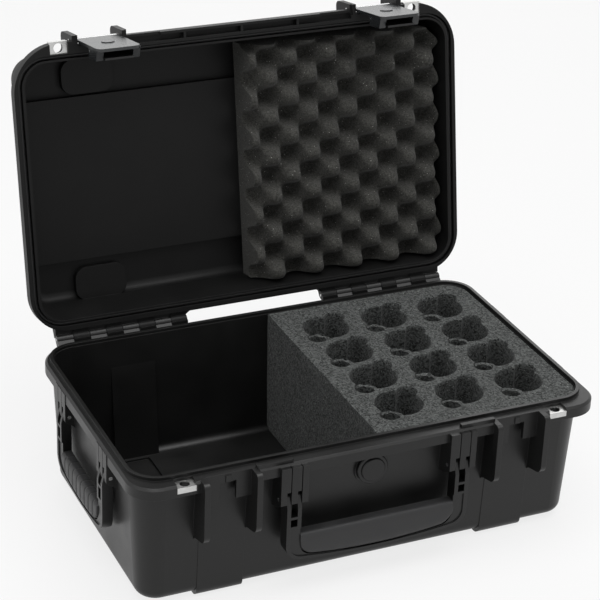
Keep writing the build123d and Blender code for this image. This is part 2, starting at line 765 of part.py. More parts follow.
# ------------------------------------------------------------------ hinge pins
for side_name, side in sides:
    with BuildPart() as hinge_pin:
        with BuildSketch(Plane.YZ.offset(side * hinge_inner_x if side > 0 else -hinge_outer_x)):
            with Locations((hinge_y, hinge_z)):
                Circle(hinge_pin_radius)
        extrude(amount=hinge_outer_x - hinge_inner_x)
    hinge_pin.part.label = f"hinge_pin_{side_name}"
    export_step(hinge_pin.part, f"parts/hinge_pin_{side_name}.step")

# ------------------------------------------------------------------ padlock plates
for side_name, side in sides:
    with BuildPart() as base_plate:
        with BuildSketch(Plane.YZ.offset(side * padlock_x - padlock_plate_width / 2)):
            with BuildLine():
                Polyline(
                    (-padlock_plate_back, rim_z - padlock_sink),
                    (-flange_front, rim_z - padlock_sink),
                    (-flange_front, rim_z - padlock_sink - padlock_lip),
                    (-lip_back, rim_z - padlock_sink - padlock_lip),
                    (-lip_back, rim_z - plate_drop),
                    (-padlock_plate_back, rim_z - plate_drop),
                    close=True,
                )
            make_face()
        extrude(amount=padlock_plate_width)
        with BuildSketch(Plane.XY.offset(rim_z)):
            with Locations((side * padlock_x, -padlock_y)):
                Circle(padlock_hole)
        extrude(amount=-flange_depth, mode=Mode.SUBTRACT)
    base_plate.part.label = f"base_padlock_plate_{side_name}"
    export_step(base_plate.part, f"parts/base_padlock_plate_{side_name}.step")

    with BuildPart() as lid_plate:
        with BuildSketch(on_lid(Plane.YZ.offset(side * padlock_x - padlock_plate_width / 2))):
            with BuildLine():
                Polyline(
                    (-padlock_plate_back, rim_face + padlock_sink),
                    (-flange_front, rim_face + padlock_sink),
                    (-flange_front, rim_face + padlock_sink + padlock_lip),
                    (-lip_back, rim_face + padlock_sink + padlock_lip),
                    (-lip_back, rim_face + plate_drop),
                    (-padlock_plate_back, rim_face + plate_drop),
                    close=True,
                )
            make_face()
        extrude(amount=padlock_plate_width)
        with BuildSketch(on_lid(Plane.XY.offset(rim_face))):
            with Locations((side * padlock_x, -padlock_y)):
                Circle(padlock_hole)
        extrude(amount=flange_depth, mode=Mode.SUBTRACT)
    lid_plate.part.label = f"lid_padlock_plate_{side_name}"
    export_step(lid_plate.part, f"parts/lid_padlock_plate_{side_name}.step")

# ------------------------------------------------------------------ latches
trigger_pin_z = rim_z - trigger_pin_drop
latch_pivot_z = rim_z + latch_pivot_rise
plate_outer_y = plate_inner_y + plate_thickness
cheek_top = apron_depth + cheek_gap
lip_front = bay_front - apron_thickness - 2 * seat_gap
lip_top = rim_z - apron_depth + catch_bite
hub_top = trigger_pin_z + trigger_hub_radius
paddle_front = trigger_pin_y - trigger_hub_radius - paddle_setback
for side_name, side in sides:
    latch_x = side * skid_x
    with BuildPart() as latch_body:
        # outer plate, leaning in toward the barrel on its pivot
        with BuildSketch(on_lid(Plane.YZ.offset(latch_x - latch_width / 2))):
            with BuildLine():
                Polyline(
                    (-latch_pivot_y - latch_barrel_radius, latch_pivot_z),
                    (-plate_outer_y, rim_z - plate_bend),
                    (-plate_outer_y, rim_z - plate_bottom),
                    (-plate_inner_y, rim_z - plate_bottom),
                    (-plate_inner_y, rim_z),
                    (-latch_pivot_y, latch_pivot_z - latch_barrel_radius),
                    close=True,
                )
            make_face()
            with Locations((-latch_pivot_y, latch_pivot_z)):
                Circle(latch_barrel_radius)
        extrude(amount=latch_width)
        with BuildSketch(on_lid(Plane.XZ.offset(cheek_reach))) as plate_outline:
            with Locations((latch_x, rim_z - plate_bottom)):
                Rectangle(latch_width, plate_bottom + latch_pivot_rise + latch_barrel_radius,
                          align=(Align.CENTER, Align.MIN))
            fillet(plate_outline.vertices().group_by(Axis.Y)[0], latch_corner)
        extrude(amount=plate_outer_y - cheek_reach, mode=Mode.INTERSECT)
        # cheeks that carry the trigger, below the apron
        for _, edge in sides:
            cheek_x = latch_x + edge * (latch_width - cheek_thickness) / 2
            with BuildSketch(on_lid(Plane.YZ.offset(cheek_x - cheek_thickness / 2))) as cheek:
                with BuildLine():
                    Polyline(
                        (-plate_inner_y - plate_thickness / 2, rim_z - cheek_top),
                        (-cheek_reach, rim_z - cheek_top),
                        (-cheek_reach, rim_z - cheek_bottom),
                        (-plate_inner_y - plate_thickness / 2, rim_z - cheek_bottom - rib_round),
                        close=True,
                    )
                make_face()
            extrude(amount=cheek_thickness)
        # raised thumb disc
        with BuildSketch(on_lid(Plane.XZ.offset(plate_outer_y))):
            with Locations((latch_x, rim_z - thumb_disc_drop)):
                Circle(thumb_disc_radius)
        extrude(amount=thumb_disc_rise)
        with BuildSketch(on_lid(Plane.YZ.offset(latch_x - latch_width / 2))):
            with Locations((-latch_pivot_y, latch_pivot_z)):
                Circle(latch_pin_radius + turn_fit)
            with Locations((-trigger_pin_y, trigger_pin_z)):
                Circle(trigger_pin_radius + pin_fit)
        extrude(amount=latch_width, mode=Mode.SUBTRACT)
    latch_body.part.label = f"latch_body_{side_name}"
    export_step(latch_body.part, f"parts/latch_body_{side_name}.step")

    with BuildPart() as latch_pin:
        with BuildSketch(on_lid(Plane.YZ.offset(latch_x - ear_outer_width / 2))):
            with Locations((-latch_pivot_y, latch_pivot_z)):
                Circle(latch_pin_radius)
        extrude(amount=ear_outer_width)
    latch_pin.part.label = f"latch_pin_{side_name}"
    export_step(latch_pin.part, f"parts/latch_pin_{side_name}.step")

    with BuildPart() as latch_trigger:
        with BuildSketch(on_lid(Plane.YZ.offset(latch_x - trigger_width / 2))):
            with Locations((-trigger_pin_y, trigger_pin_z)):
                Circle(trigger_hub_radius)
            # arm under the apron, with the lip behind it
            with BuildLine():
                Polyline(
                    (-trigger_pin_y, hub_top),
                    (-lip_front, hub_top),
                    (-lip_front, lip_top),
                    (-lip_front + lip_depth, lip_top - catch_bite),
                    (-lip_front + lip_depth, trigger_pin_z),
                    (-trigger_pin_y, trigger_pin_z - trigger_hub_radius),
                    close=True,
                )
            make_face()
            # curved paddle for the fingers
            with BuildLine() as paddle:
                front_face = ThreePointArc(
                    (-trigger_pin_y - trigger_hub_radius / 2, trigger_pin_z - trigger_hub_radius / 2),
                    (-paddle_front - paddle_bow, (trigger_pin_z + rim_z - trigger_paddle_drop) / 2),
                    (-paddle_front, rim_z - trigger_paddle_drop),
                )
                Line(front_face @ 1, (-paddle_front + paddle_thickness, rim_z - trigger_paddle_drop))
                ThreePointArc(
                    (-paddle_front + paddle_thickness, rim_z - trigger_paddle_drop),
                    (
                        -paddle_front - paddle_bow + paddle_thickness,
                        (trigger_pin_z + rim_z - trigger_paddle_drop) / 2,
                    ),
                    (-trigger_pin_y + trigger_hub_radius, trigger_pin_z),
                )
                Line((-trigger_pin_y + trigger_hub_radius, trigger_pin_z), front_face @ 0)
            make_face()
        extrude(amount=trigger_width)
        # bore, and the window that holds the spring
        with BuildSketch(on_lid(Plane.YZ.offset(latch_x - trigger_width / 2))):
            with Locations((-trigger_pin_y, trigger_pin_z)):
                Circle(trigger_pin_radius + turn_fit)
        extrude(amount=trigger_width, mode=Mode.SUBTRACT)
        with BuildSketch(on_lid(Plane.YZ.offset(latch_x - trigger_window / 2))):
            with Locations((-trigger_pin_y, trigger_pin_z)):
                Circle(spring_radius + spring_wire + seat_gap)
        extrude(amount=trigger_window, mode=Mode.SUBTRACT)
    latch_trigger.part.label = f"latch_trigger_{side_name}"
    export_step(latch_trigger.part, f"parts/latch_trigger_{side_name}.step")

    with BuildPart() as trigger_pin:
        with BuildSketch(on_lid(Plane.YZ.offset(latch_x - latch_width / 2))):
            with Locations((-trigger_pin_y, trigger_pin_z)):
                Circle(trigger_pin_radius)
        extrude(amount=latch_width)
    trigger_pin.part.label = f"trigger_pin_{side_name}"
    export_step(trigger_pin.part, f"parts/trigger_pin_{side_name}.step")

    with BuildPart() as trigger_spring:
        spring_length = trigger_window - 4 * spring_wire
        coil_axis = on_lid(Plane.YZ.offset(latch_x - spring_length / 2))
        coil_start = coil_axis.from_local_coords((-trigger_pin_y, trigger_pin_z, 0))
        with BuildLine():
            coil = Helix(
                pitch=spring_length / spring_turns,
                height=spring_length,
                radius=spring_radius,
                center=coil_start,
                direction=coil_axis.z_dir,
            )
        with BuildSketch(Plane(origin=coil @ 0, z_dir=coil % 0)):
            Circle(spring_wire)
        sweep(is_frenet=True)
    trigger_spring.part.label = f"trigger_spring_{side_name}"
    export_step(trigger_spring.part, f"parts/trigger_spring_{side_name}.step")


# ------------------------------------------------------------------ handles
def bowed_outline(half_width, top, bottom, inset):
    """A handle's outline from the front: straight sides, rounded corners, a bottom that bows down."""
    corner_y = bottom + handle_bow + inset
    with BuildSketch(Plane.XY, mode=Mode.PRIVATE) as outline:
        with BuildLine():
            Polyline(
                (half_width, corner_y), (half_width, top), (-half_width, top), (-half_width, corner_y)
            )
            ThreePointArc((-half_width, corner_y), (0, bottom + inset), (half_width, corner_y))
        make_face()
        fillet(outline.vertices().group_by(Axis.Y)[0], handle_corner - inset)
    return outline.sketch


def build_handle(name, middle, leg_x, pivot_drop, crossbar_drop, window_height, grip_span, reach, rings):
    """Frame, cushion and pins of one folding handle. The plane's origin is the middle of its pivot."""
    grip_top, grip_bottom = (pivot_drop - drop for drop in grip_span)
    inner_reach, outer_reach = reach
    arm_outer = leg_x + (finger_pitch + leg_width) / 2
    arm_inner = leg_x - (finger_pitch + leg_width) / 2
    crossbar_top = pivot_drop - crossbar_drop
    window_top = crossbar_top - crossbar_height
    window_bottom = window_top - window_height
    core_middle = (grip_top + grip_bottom) / 2
    outer_outline = bowed_outline(arm_outer, crossbar_top, grip_bottom, 0)
    inner_outline = bowed_outline(arm_inner, crossbar_top, grip_bottom, rim_bead)
    cushion_outline = bowed_outline(arm_inner, grip_top, grip_bottom, rim_bead)

    with BuildPart() as frame:
        # arms and the thin bead that runs under the cushion
        with BuildSketch(middle.offset(-inner_reach)):
            add(outer_outline)
            add(inner_outline, mode=Mode.SUBTRACT)
            with Locations((-leg_x, window_top), (leg_x, window_top)):
                Rectangle(finger_pitch - leg_width, window_height,
                          align=(Align.CENTER, Align.MAX), mode=Mode.SUBTRACT)
        extrude(amount=inner_reach + outer_reach)
        # sunk inner part of each arm, beside its outer edge
        with BuildSketch(middle.offset(outer_reach)):
            add(bowed_outline(arm_outer - leg_width, window_bottom - crossbar_height, grip_bottom, rim_bead))
        extrude(amount=-arm_recess, mode=Mode.SUBTRACT)
        # core bar inside the cushion
        with BuildSketch(middle.offset(-core_depth / 2)):
            with Locations((0, core_middle)):
                Rectangle(2 * arm_inner + rim_bead, core_height)
        extrude(amount=core_depth)
        # two legs on each arm, between the fingers of the ears
        leg_planes = []
        for _, edge in sides:
            for step in (-1, 1):
                leg_middle = edge * leg_x + step * finger_pitch / 2
                leg_origin = middle.from_local_coords((leg_middle - leg_width / 2, 0, 0))
                leg_planes.append(Plane(leg_origin, x_dir=middle.z_dir, z_dir=middle.x_dir))
        with BuildSketch(*leg_planes):
            Circle(leg_round)
            with BuildLine():
                Polyline(
                    (-leg_round, 0), (-inner_reach, leg_flare), (-inner_reach, -crossbar_top),
                    (outer_reach, -crossbar_top), (outer_reach, leg_flare), (leg_round, 0),
                    close=True,
                )
            make_face()
        extrude(amount=leg_width)
        with BuildSketch(*leg_planes):
            Circle(handle_pin_radius + turn_fit)
        extrude(amount=leg_width, mode=Mode.SUBTRACT)
    frame.part.label = f"{name}_handle_frame"
    export_step(frame.part, f"parts/{name}_handle_frame.step")

    with BuildPart() as grip:
        with BuildSketch(middle.offset(-inner_reach - cushion_swell)):
            add(cushion_outline)
        extrude(amount=inner_reach + outer_reach + 2 * cushion_swell)
        fillet(grip.faces().filter_by(middle).edges(), cushion_round)
        # shallow grooves that part the rings of a ringed cushion
        if rings:
            ring_pitch = 2 * arm_inner / rings
            groove_reach = outer_reach + cushion_swell - ring_height
            groove_back = inner_reach + cushion_swell - ring_height
            for groove_plane, groove_depth in (
                (middle.offset(groove_reach), 2 * ring_height), (middle.offset(-groove_back), -2 * ring_height)
            ):
                with BuildSketch(groove_plane):
                    with Locations((0, core_middle)):
                        with GridLocations(ring_pitch, 0, rings - 1, 1):
                            Rectangle(ring_height, 2 * (grip_top - grip_bottom))
                extrude(amount=groove_depth, mode=Mode.SUBTRACT)
        add(frame.part, mode=Mode.SUBTRACT)
    grip.part.label = f"{name}_handle_grip"
    export_step(grip.part, f"parts/{name}_handle_grip.step")

    with BuildPart() as pins:
        for _, edge in sides:
            pin_origin = middle.from_local_coords((edge * leg_x - ear_span / 2, 0, 0))
            with BuildSketch(Plane(pin_origin, x_dir=middle.z_dir, z_dir=middle.x_dir)):
                Circle(handle_pin_radius)
            extrude(amount=ear_span)
    pins.part.label = f"{name}_handle_pins"
    export_step(pins.part, f"parts/{name}_handle_pins.step")


front_middle = Plane((0, -front_pivot_y, rim_z - front_pivot_drop), x_dir=(1, 0, 0), z_dir=(0, -1, 0))
build_handle(
    "front", front_middle, front_leg_x, front_pivot_drop, front_crossbar_drop, front_window_height,
    (front_grip_top, front_grip_bottom), (front_handle_inner, front_handle_outer), 0,
)
for side_name, side in sides:
    side_middle = Plane(
        (side * side_pivot_x, 0, rim_z - side_pivot_drop), x_dir=(0, side, 0), z_dir=(side, 0, 0)
    )
    build_handle(
        side_name, side_middle, side_leg_y, side_pivot_drop, side_crossbar_drop, side_window_height,
        (side_grip_top, side_grip_bottom), (side_handle_inner, side_handle_outer), side_ring_count,
    )

# ------------------------------------------------------------------ pressure valve
valve_z = rim_z - valve_drop
valve_front = valve_face + valve_thickness
with BuildPart() as valve_body:
    with BuildSketch(Plane.XZ.offset(valve_face)):
        with Locations((0, valve_z)):
            Circle(valve_radius)
    extrude(amount=valve_thickness)
    chamfer(valve_body.faces().sort_by(Axis.Y)[0].edges(), valve_cap_height / 2)
    with BuildSketch(Plane.XZ.offset(valve_face)):
        with Locations((0, valve_z)):
            Circle(valve_stem_radius)
    extrude(amount=-(valve_face - valve_inner_face + valve_nut_height + seat_gap))
    # seat of the O-ring, and the breathing hole
    with BuildSketch(Plane.XZ.offset(valve_face)):
        with Locations((0, valve_z)):
            Circle(valve_seal_middle + valve_seal_radius + seat_gap)
            Circle(valve_seal_middle - valve_seal_radius - seat_gap, mode=Mode.SUBTRACT)
    extrude(amount=2 * valve_seal_radius, mode=Mode.SUBTRACT)
    with BuildSketch(Plane.XZ.offset(valve_front)):
        with Locations((0, valve_z)):
            Circle(valve_stem_radius / 3)
    extrude(amount=-2 * valve_face, mode=Mode.SUBTRACT)
valve_body.part.label = "valve_body"
export_step(valve_body.part, "parts/valve_body.step")

with BuildPart() as valve_cap:
    with BuildSketch(Plane.XZ.offset(valve_front)):
        with Locations((0, valve_z)):
            Circle(valve_cap_radius)
    extrude(amount=valve_cap_height)
    chamfer(valve_cap.faces().sort_by(Axis.Y)[0].edges(), valve_cap_height / 2)
valve_cap.part.label = "valve_cap"
export_step(valve_cap.part, "parts/valve_cap.step")

with BuildPart() as valve_seal:
    with BuildSketch(Plane.YZ):
        with Locations((-valve_face - valve_seal_radius, valve_z + valve_seal_middle)):
            Circle(valve_seal_radius)
    revolve(axis=Axis((0, 0, valve_z), (0, 1, 0)))
valve_seal.part.label = "valve_seal"
export_step(valve_seal.part, "parts/valve_seal.step")

with BuildPart() as valve_nut:
    with BuildSketch(Plane.XZ.offset(valve_inner_face)):
        with Locations((0, valve_z)):
            RegularPolygon(valve_nut_radius, side_count=6)
            Circle(valve_stem_radius + pin_fit, mode=Mode.SUBTRACT)
    extrude(amount=-valve_nut_height)
valve_nut.part.label = "valve_nut"
export_step(valve_nut.part, "parts/valve_nut.step")

# ------------------------------------------------------------------ microphone foam
foam_length = tub_length - 2 * (wall + seat_gap)
foam_width = tub_width - 2 * (wall + seat_gap)
well_spots = [
    (well_middle_x + (column - (well_columns - 1) / 2) * well_pitch_x,
     well_middle_y + (row - (well_rows - 1) / 2) * well_pitch_y)
    for column in range(well_columns)
    for row in range(well_rows)
]
near_fingers, far_fingers = (
    [(x + way * finger_offset, y + way * finger_offset) for x, y in well_spots] for way in (-1, 1)
)
with BuildPart() as mic_foam:
    with BuildSketch(Plane.XY.offset(rim_z)):
        RectangleRounded(foam_length, foam_width, tub_corner - wall - seat_gap)
    extrude(amount=-(tub_height - wall - seat_gap), taper=draft)
    fillet(mic_foam.faces().sort_by(Axis.Z)[0].edges(), tub_bottom_round - wall)
    split(bisect_by=Plane.YZ.offset(foam_left), keep=Keep.TOP)
    # round wells, each open to its far finger hole and parted from the near one by a thin web
    with BuildSketch(Plane.XY.offset(rim_z)):
        with Locations(*near_fingers):
            Circle(finger_radius)
        with Locations(*well_spots):
            Circle(well_radius + web_thickness, mode=Mode.SUBTRACT)
            Circle(well_radius)
        with Locations(*far_fingers):
            Circle(finger_radius)
    extrude(amount=-well_depth, mode=Mode.SUBTRACT)
    with BuildSketch(Plane.XY.offset(rim_z)):
        with Locations(*near_fingers):
            Circle(finger_radius)
    extrude(amount=-web_drop, mode=Mode.SUBTRACT)
mic_foam.part.label = "mic_foam"
export_step(mic_foam.part, "parts/mic_foam.step")

# ------------------------------------------------------------------ egg-crate foam
crate_back = panel_face - seat_gap
crate_valley = crate_back - crate_base
crate_tip = crate_valley - crate_peak
crate_right = dome_length / 2 - wall - (crate_back - rim_face) * tan(radians(dome_draft)) - 2 * seat_gap
crate_taper = degrees(atan2(crate_foot_radius - crate_tip_radius, crate_peak))
# the peaks stand in a checkerboard: every second column is moved by half a pitch
crate_spots = [
    (crate_first_x + column * crate_pitch_x,
     crate_first_y + (row + (column + 1) % 2 / 2) * crate_pitch_y)
    for column in range(crate_columns)
    for row in range(crate_rows)
]
with BuildSketch(Plane.XY, mode=Mode.PRIVATE) as crate_outline:
    with Locations((crate_left, -crate_front)):
        Rectangle(
            crate_right - crate_left, crate_front + crate_hinge_side, align=(Align.MIN, Align.MIN)
        )
    fillet(crate_outline.vertices().group_by(Axis.X)[-1], crate_corner)
with BuildPart() as lid_foam:
    with BuildSketch(on_lid(Plane.XY.offset(crate_valley))):
        add(crate_outline.sketch)
    extrude(amount=crate_base)
    with BuildSketch(on_lid(Plane.XY.offset(crate_valley))):
        with Locations(*crate_spots):
            Circle(crate_foot_radius)
    extrude(amount=-crate_peak, taper=crate_taper)
    with BuildSketch(on_lid(Plane.XY.offset(crate_tip))):
        add(crate_outline.sketch)
    extrude(amount=crate_base + crate_peak, mode=Mode.INTERSECT)
lid_foam.part.label = "lid_foam"
export_step(lid_foam.part, "parts/lid_foam.step")
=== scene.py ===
# %% [markdown]
# A microphone case with its lid open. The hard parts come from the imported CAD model: two moulded
# shells, pins, latches, plates and handle frames. They stand still here and only get their finish.
# The soft parts are modelled in this file: the foam block with its wells, the egg-crate pad in the
# lid, the lid's rubber gasket and the three handle cushions.

# %% Load the frame
import bpy, json, math
from mathutils import Matrix, Vector, noise
from mathutils.geometry import delaunay_2d_cdt


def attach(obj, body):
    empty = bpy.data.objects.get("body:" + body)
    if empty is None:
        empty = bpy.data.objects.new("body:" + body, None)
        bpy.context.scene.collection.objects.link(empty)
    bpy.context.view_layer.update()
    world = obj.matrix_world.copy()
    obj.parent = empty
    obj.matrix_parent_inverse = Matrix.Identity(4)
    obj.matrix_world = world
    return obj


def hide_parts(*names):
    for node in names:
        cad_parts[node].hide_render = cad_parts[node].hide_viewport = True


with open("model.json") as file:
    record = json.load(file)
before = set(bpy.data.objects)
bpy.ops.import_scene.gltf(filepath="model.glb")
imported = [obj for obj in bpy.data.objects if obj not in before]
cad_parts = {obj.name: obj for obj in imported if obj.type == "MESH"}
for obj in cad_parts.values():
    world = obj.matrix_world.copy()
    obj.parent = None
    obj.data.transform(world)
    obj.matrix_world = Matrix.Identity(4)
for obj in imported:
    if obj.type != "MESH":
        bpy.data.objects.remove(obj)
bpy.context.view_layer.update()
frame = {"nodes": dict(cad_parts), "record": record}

mm = 0.001                              # Blender works in metres
tiny = 1e-6                             # for comparing lengths and angles
print("nodes:", len(frame["nodes"]))

# %% [markdown]
# The lid is drawn open, but its pad and gasket are easier to think of on the closed case, where the
# rim is level. So one helper takes a point of the closed case and turns it about the hinge to where
# the open lid has it. The hinge line and its travel are read from the record's joint, so the pieces
# can't drift away from the CAD lid.

# %% From the closed lid to the open one
rim = 161 * mm                          # height of the rim above the ground
hinge = next(j for j in frame["record"]["behaviour"]["joints"] if j["name"] == "lid_hinge")
hinge_at = Vector(hinge["pos_m"])
lid_turn = Matrix.Rotation(-math.radians(hinge["range_deg"][1]), 3, "X")


def on_lid(x, y, above_rim):
    """A point of the closed lid, at a height above the rim, moved to the open lid."""
    return hinge_at + lid_turn @ (Vector((x, y, rim + above_rim)) - hinge_at)


print("lid turned back by", hinge["range_deg"][1], "degrees about", tuple(hinge_at))

# %% [markdown]
# Every modelled piece is made the same way: a list of corners and a list of faces become a mesh,
# the mesh rides on one body of the frame and takes one finish. Smooth
# shading with a sharp-edge angle keeps cut edges crisp while curved walls stay round.

# %% A piece from corners and faces
def make_piece(name, corners, faces, finish, body, stands_for, sharp=40):
    """A visible piece in the place of a CAD node. Edges that bend by more than sharp stay crisp."""
    mesh = bpy.data.meshes.new(name)
    mesh.from_pydata([tuple(c) for c in corners], [], faces)
    mesh.validate()
    mesh.update()
    mesh.shade_smooth()
    mesh.set_sharp_from_angle(angle=math.radians(sharp))
    mesh.materials.append(finish)
    piece = bpy.data.objects.new(name, mesh)
    bpy.context.scene.collection.objects.link(piece)
    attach(piece, body)
    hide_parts(stands_for)
    print(name, "-", len(mesh.vertices), "corners,", len(mesh.polygons), "faces")
    return piece


# %% [markdown]
# Most of these meshes are built from rings: the same number of corners again and again, a little
# further on each time, with a quad between each four neighbours. Two helpers do that. The first adds
# points to a list of corners and gives back their numbers, and the second fills in the quads.

# %% Rings of corners
def add_ring(corners, points):
    """Adds the points as corners and gives back their numbers."""
    first = len(corners)
    corners.extend(points)
    return list(range(first, len(corners)))


def join_rings(faces, rings, closed=True):
    """Quads between neighbouring rings of corner numbers, all of one length."""
    for low, high in zip(rings, rings[1:]):
        count = len(low)
        for i in range(count if closed else count - 1):
            k = (i + 1) % count
            faces.append((low[i], low[k], high[k], high[i]))


# %% [markdown]
# A closed path with straight sides and round corners turns up again and again: the gasket follows
# one, and so does the outside of the foam block. Each point comes with the direction that points
# outward there, which is what a swept profile needs. The points lie twice as close round a corner as
# along a side.

# %% A path with round corners
def rounded_path(half_x, half_y, corner, step):
    """Points of a rounded rectangle, anticlockwise, each with its outward direction."""
    path = []
    turns = round(math.pi / 2 * corner / (step / 2))
    middles = [(half_x - corner, half_y - corner), (corner - half_x, half_y - corner),
               (corner - half_x, corner - half_y), (half_x - corner, corner - half_y)]
    for quarter, (cx, cy) in enumerate(middles):
        for i in range(turns + 1):
            a = math.radians(90) * (quarter + i / turns)
            path.append((cx + corner * math.cos(a), cy + corner * math.sin(a),
                         math.cos(a), math.sin(a)))
    full = []
    for here, there in zip(path, path[1:] + path[:1]):
        full.append(here)
        parts = int(math.dist(here[:2], there[:2]) / step)
        for i in range(1, parts):
            t = i / parts
            full.append(tuple(here[k] + (there[k] - here[k]) * t for k in range(4)))
    return full


# %% [markdown]
# A finish in Blender is a small graph of nodes. Every finish here starts from the same few: noise of
# a real size, a ramp that turns the noise into colours or roughness, a bevel that rounds the way an
# edge catches light, and a bump that makes a surface look raised. The helpers below add one such
# node each, so that a finish reads as a short recipe.

# %% Helpers for finishes
def new_finish(name):
    """A finish, its nodes and links, its shader, and the place on the piece in metres."""
    finish = bpy.data.materials.new(name)
    finish.use_nodes = True
    nodes, links = finish.node_tree.nodes, finish.node_tree.links
    shader = nodes["Principled BSDF"]
    place = nodes.new("ShaderNodeTexCoord")
    return finish, nodes, links, shader, place.outputs["Object"]


def noise_at(nodes, links, place, size, detail=2.0, stretch=(1, 1, 1)):
    """Noise whose lumps are about size across."""
    spacing = nodes.new("ShaderNodeMapping")
    spacing.inputs["Scale"].default_value = tuple(s / size for s in stretch)
    lumps = nodes.new("ShaderNodeTexNoise")
    lumps.inputs["Scale"].default_value = 1.0
    lumps.inputs["Detail"].default_value = detail
    links.new(place, spacing.inputs["Vector"])
    links.new(spacing.outputs["Vector"], lumps.inputs["Vector"])
    return lumps.outputs["Fac"]


def bubbles_at(nodes, links, place, size):
    """Voronoi cells about size across."""
    cells = nodes.new("ShaderNodeTexVoronoi")
    cells.inputs["Scale"].default_value = 1 / size
    links.new(place, cells.inputs["Vector"])
    return cells


def ramp(nodes, links, value, low, high):
    """Two stops: each is a place from 0 to 1 and a grey or a colour."""
    steps = nodes.new("ShaderNodeValToRGB")
    for stop, (at, colour) in zip(steps.color_ramp.elements, (low, high)):
        stop.position = at
        stop.color = (colour, colour, colour, 1) if isinstance(colour, float) else (*colour, 1)
    links.new(value, steps.inputs["Fac"])
    return steps.outputs["Color"]


def round_edges(nodes, radius):
    """The direction of the surface with its edges rounded to a radius."""
    bevel = nodes.new("ShaderNodeBevel")
    bevel.samples = 4
    bevel.inputs["Radius"].default_value = radius
    return bevel.outputs["Normal"]


def emboss(nodes, links, height, depth, below=None):
    """Raises the surface by height times depth, on top of another direction if one is given."""
    bump = nodes.new("ShaderNodeBump")
    bump.inputs["Distance"].default_value = depth
    bump.inputs["Strength"].default_value = 1.0
    links.new(height, bump.inputs["Height"])
    if below is not None:
        links.new(below, bump.inputs["Normal"])
    return bump.outputs["Normal"]


# %% [markdown]
# Both shells of such a case are injection moulded from a tough black resin. The mould is spark
# eroded, which leaves a fine pebbled grain, well under a millimetre across, and the grain breaks the
# reflections up into a soft grey sheen. The finish is made from two noises: one for the grain, one
# for slow changes of gloss where hands have rubbed it. Mould edges are never knife sharp, so a
# bevel node rounds the reflections along each edge. Latches and handles come from smoother moulds.

# %% Moulded resin
def moulded_resin(name, dark, light, gloss, grain, grain_depth, edge, shine):
    """Black resin: colour wanders from dark to light, roughness is the pair gloss."""
    finish, nodes, links, shader, place = new_finish(name)
    patches = noise_at(nodes, links, place, size=60 * mm, detail=3.0)
    pebbles = noise_at(nodes, links, place, size=grain, detail=1.0)
    links.new(ramp(nodes, links, patches, (0.3, dark), (0.7, light)), shader.inputs["Base Color"])
    links.new(ramp(nodes, links, patches, (0.25, gloss[0]), (0.75, gloss[1])),
              shader.inputs["Roughness"])
    rounded = round_edges(nodes, edge)
    links.new(emboss(nodes, links, pebbles, grain_depth, rounded), shader.inputs["Normal"])
    shader.inputs["Specular IOR Level"].default_value = shine
    return finish


shell_resin = moulded_resin("pebbled_shell_resin", dark=(0.0055, 0.0055, 0.0054),
                            light=(0.0085, 0.0085, 0.0083), gloss=(0.32, 0.44),
                            grain=0.7 * mm, grain_depth=0.04 * mm, edge=0.7 * mm, shine=0.36)
# The lid's resin is the shell's with its reflection turned down (shine 0.16 against 0.36) and a
# rougher gloss: painted shade that keeps the whole lid darker than the shell under the same lamps.
lid_resin_painted_shade = moulded_resin("pebbled_lid_resin", dark=(0.006, 0.006, 0.006),
                          light=(0.009, 0.009, 0.0089), gloss=(0.4, 0.5),
                          grain=0.7 * mm, grain_depth=0.04 * mm, edge=0.7 * mm, shine=0.16)
latch_resin = moulded_resin("latch_resin", dark=(0.016, 0.0175, 0.0185),
                            light=(0.022, 0.024, 0.0255), gloss=(0.2, 0.28),
                            grain=0.5 * mm, grain_depth=0.012 * mm, edge=0.5 * mm, shine=0.5)
handle_resin = moulded_resin("handle_resin", dark=(0.0045, 0.0045, 0.0045),
                             light=(0.007, 0.007, 0.007), gloss=(0.3, 0.4),
                             grain=0.5 * mm, grain_depth=0.02 * mm, edge=0.6 * mm, shine=0.4)
valve_resin = moulded_resin("valve_resin", dark=(0.004, 0.004, 0.004),
                            light=(0.0065, 0.0065, 0.0065), gloss=(0.3, 0.38),
                            grain=0.4 * mm, grain_depth=0.015 * mm, edge=0.4 * mm, shine=0.36)
print("resins:", [m.name for m in (shell_resin, lid_resin_painted_shade, latch_resin, handle_resin, valve_resin)])

# %% [markdown]
# Rubber reflects softer and darker than resin and shows a dusty bloom in its hollows. The same
# two-noise idea serves, with a higher roughness and a little sheen, which stands for the fine dust.

# %% Rubber
def soft_rubber(name, dark, light, gloss):
    """Matt rubber: colour wanders from dark to light, roughness is the pair gloss."""
    finish, nodes, links, shader, place = new_finish(name)
    bloom = noise_at(nodes, links, place, size=18 * mm, detail=4.0)
    skin = noise_at(nodes, links, place, size=0.35 * mm, detail=1.0)
    links.new(ramp(nodes, links, bloom, (0.35, dark), (0.7, light)), shader.inputs["Base Color"])
    links.new(ramp(nodes, links, bloom, (0.3, gloss[0]), (0.7, gloss[1])),
              shader.inputs["Roughness"])
    links.new(emboss(nodes, links, skin, 0.02 * mm), shader.inputs["Normal"])
    shader.inputs["Sheen Weight"].default_value = 0.15
    shader.inputs["Sheen Roughness"].default_value = 0.4
    return finish


gasket_rubber = soft_rubber("gasket_rubber", dark=(0.008, 0.008, 0.008),
                            light=(0.014, 0.014, 0.0145), gloss=(0.45, 0.6))
grip_rubber = soft_rubber("grip_rubber", dark=(0.010, 0.010, 0.0105),
                          light=(0.017, 0.017, 0.018), gloss=(0.5, 0.66))
print("rubbers:", gasket_rubber.name, grip_rubber.name)

# %% [markdown]
# The padlock plates are stamped from stainless sheet and keep the lines of the belt they were
# brushed on; the pins are ground wire. A noise that is stretched fifty to one along the brushing
# gives those lines to the roughness and, very shallow, to the surface.

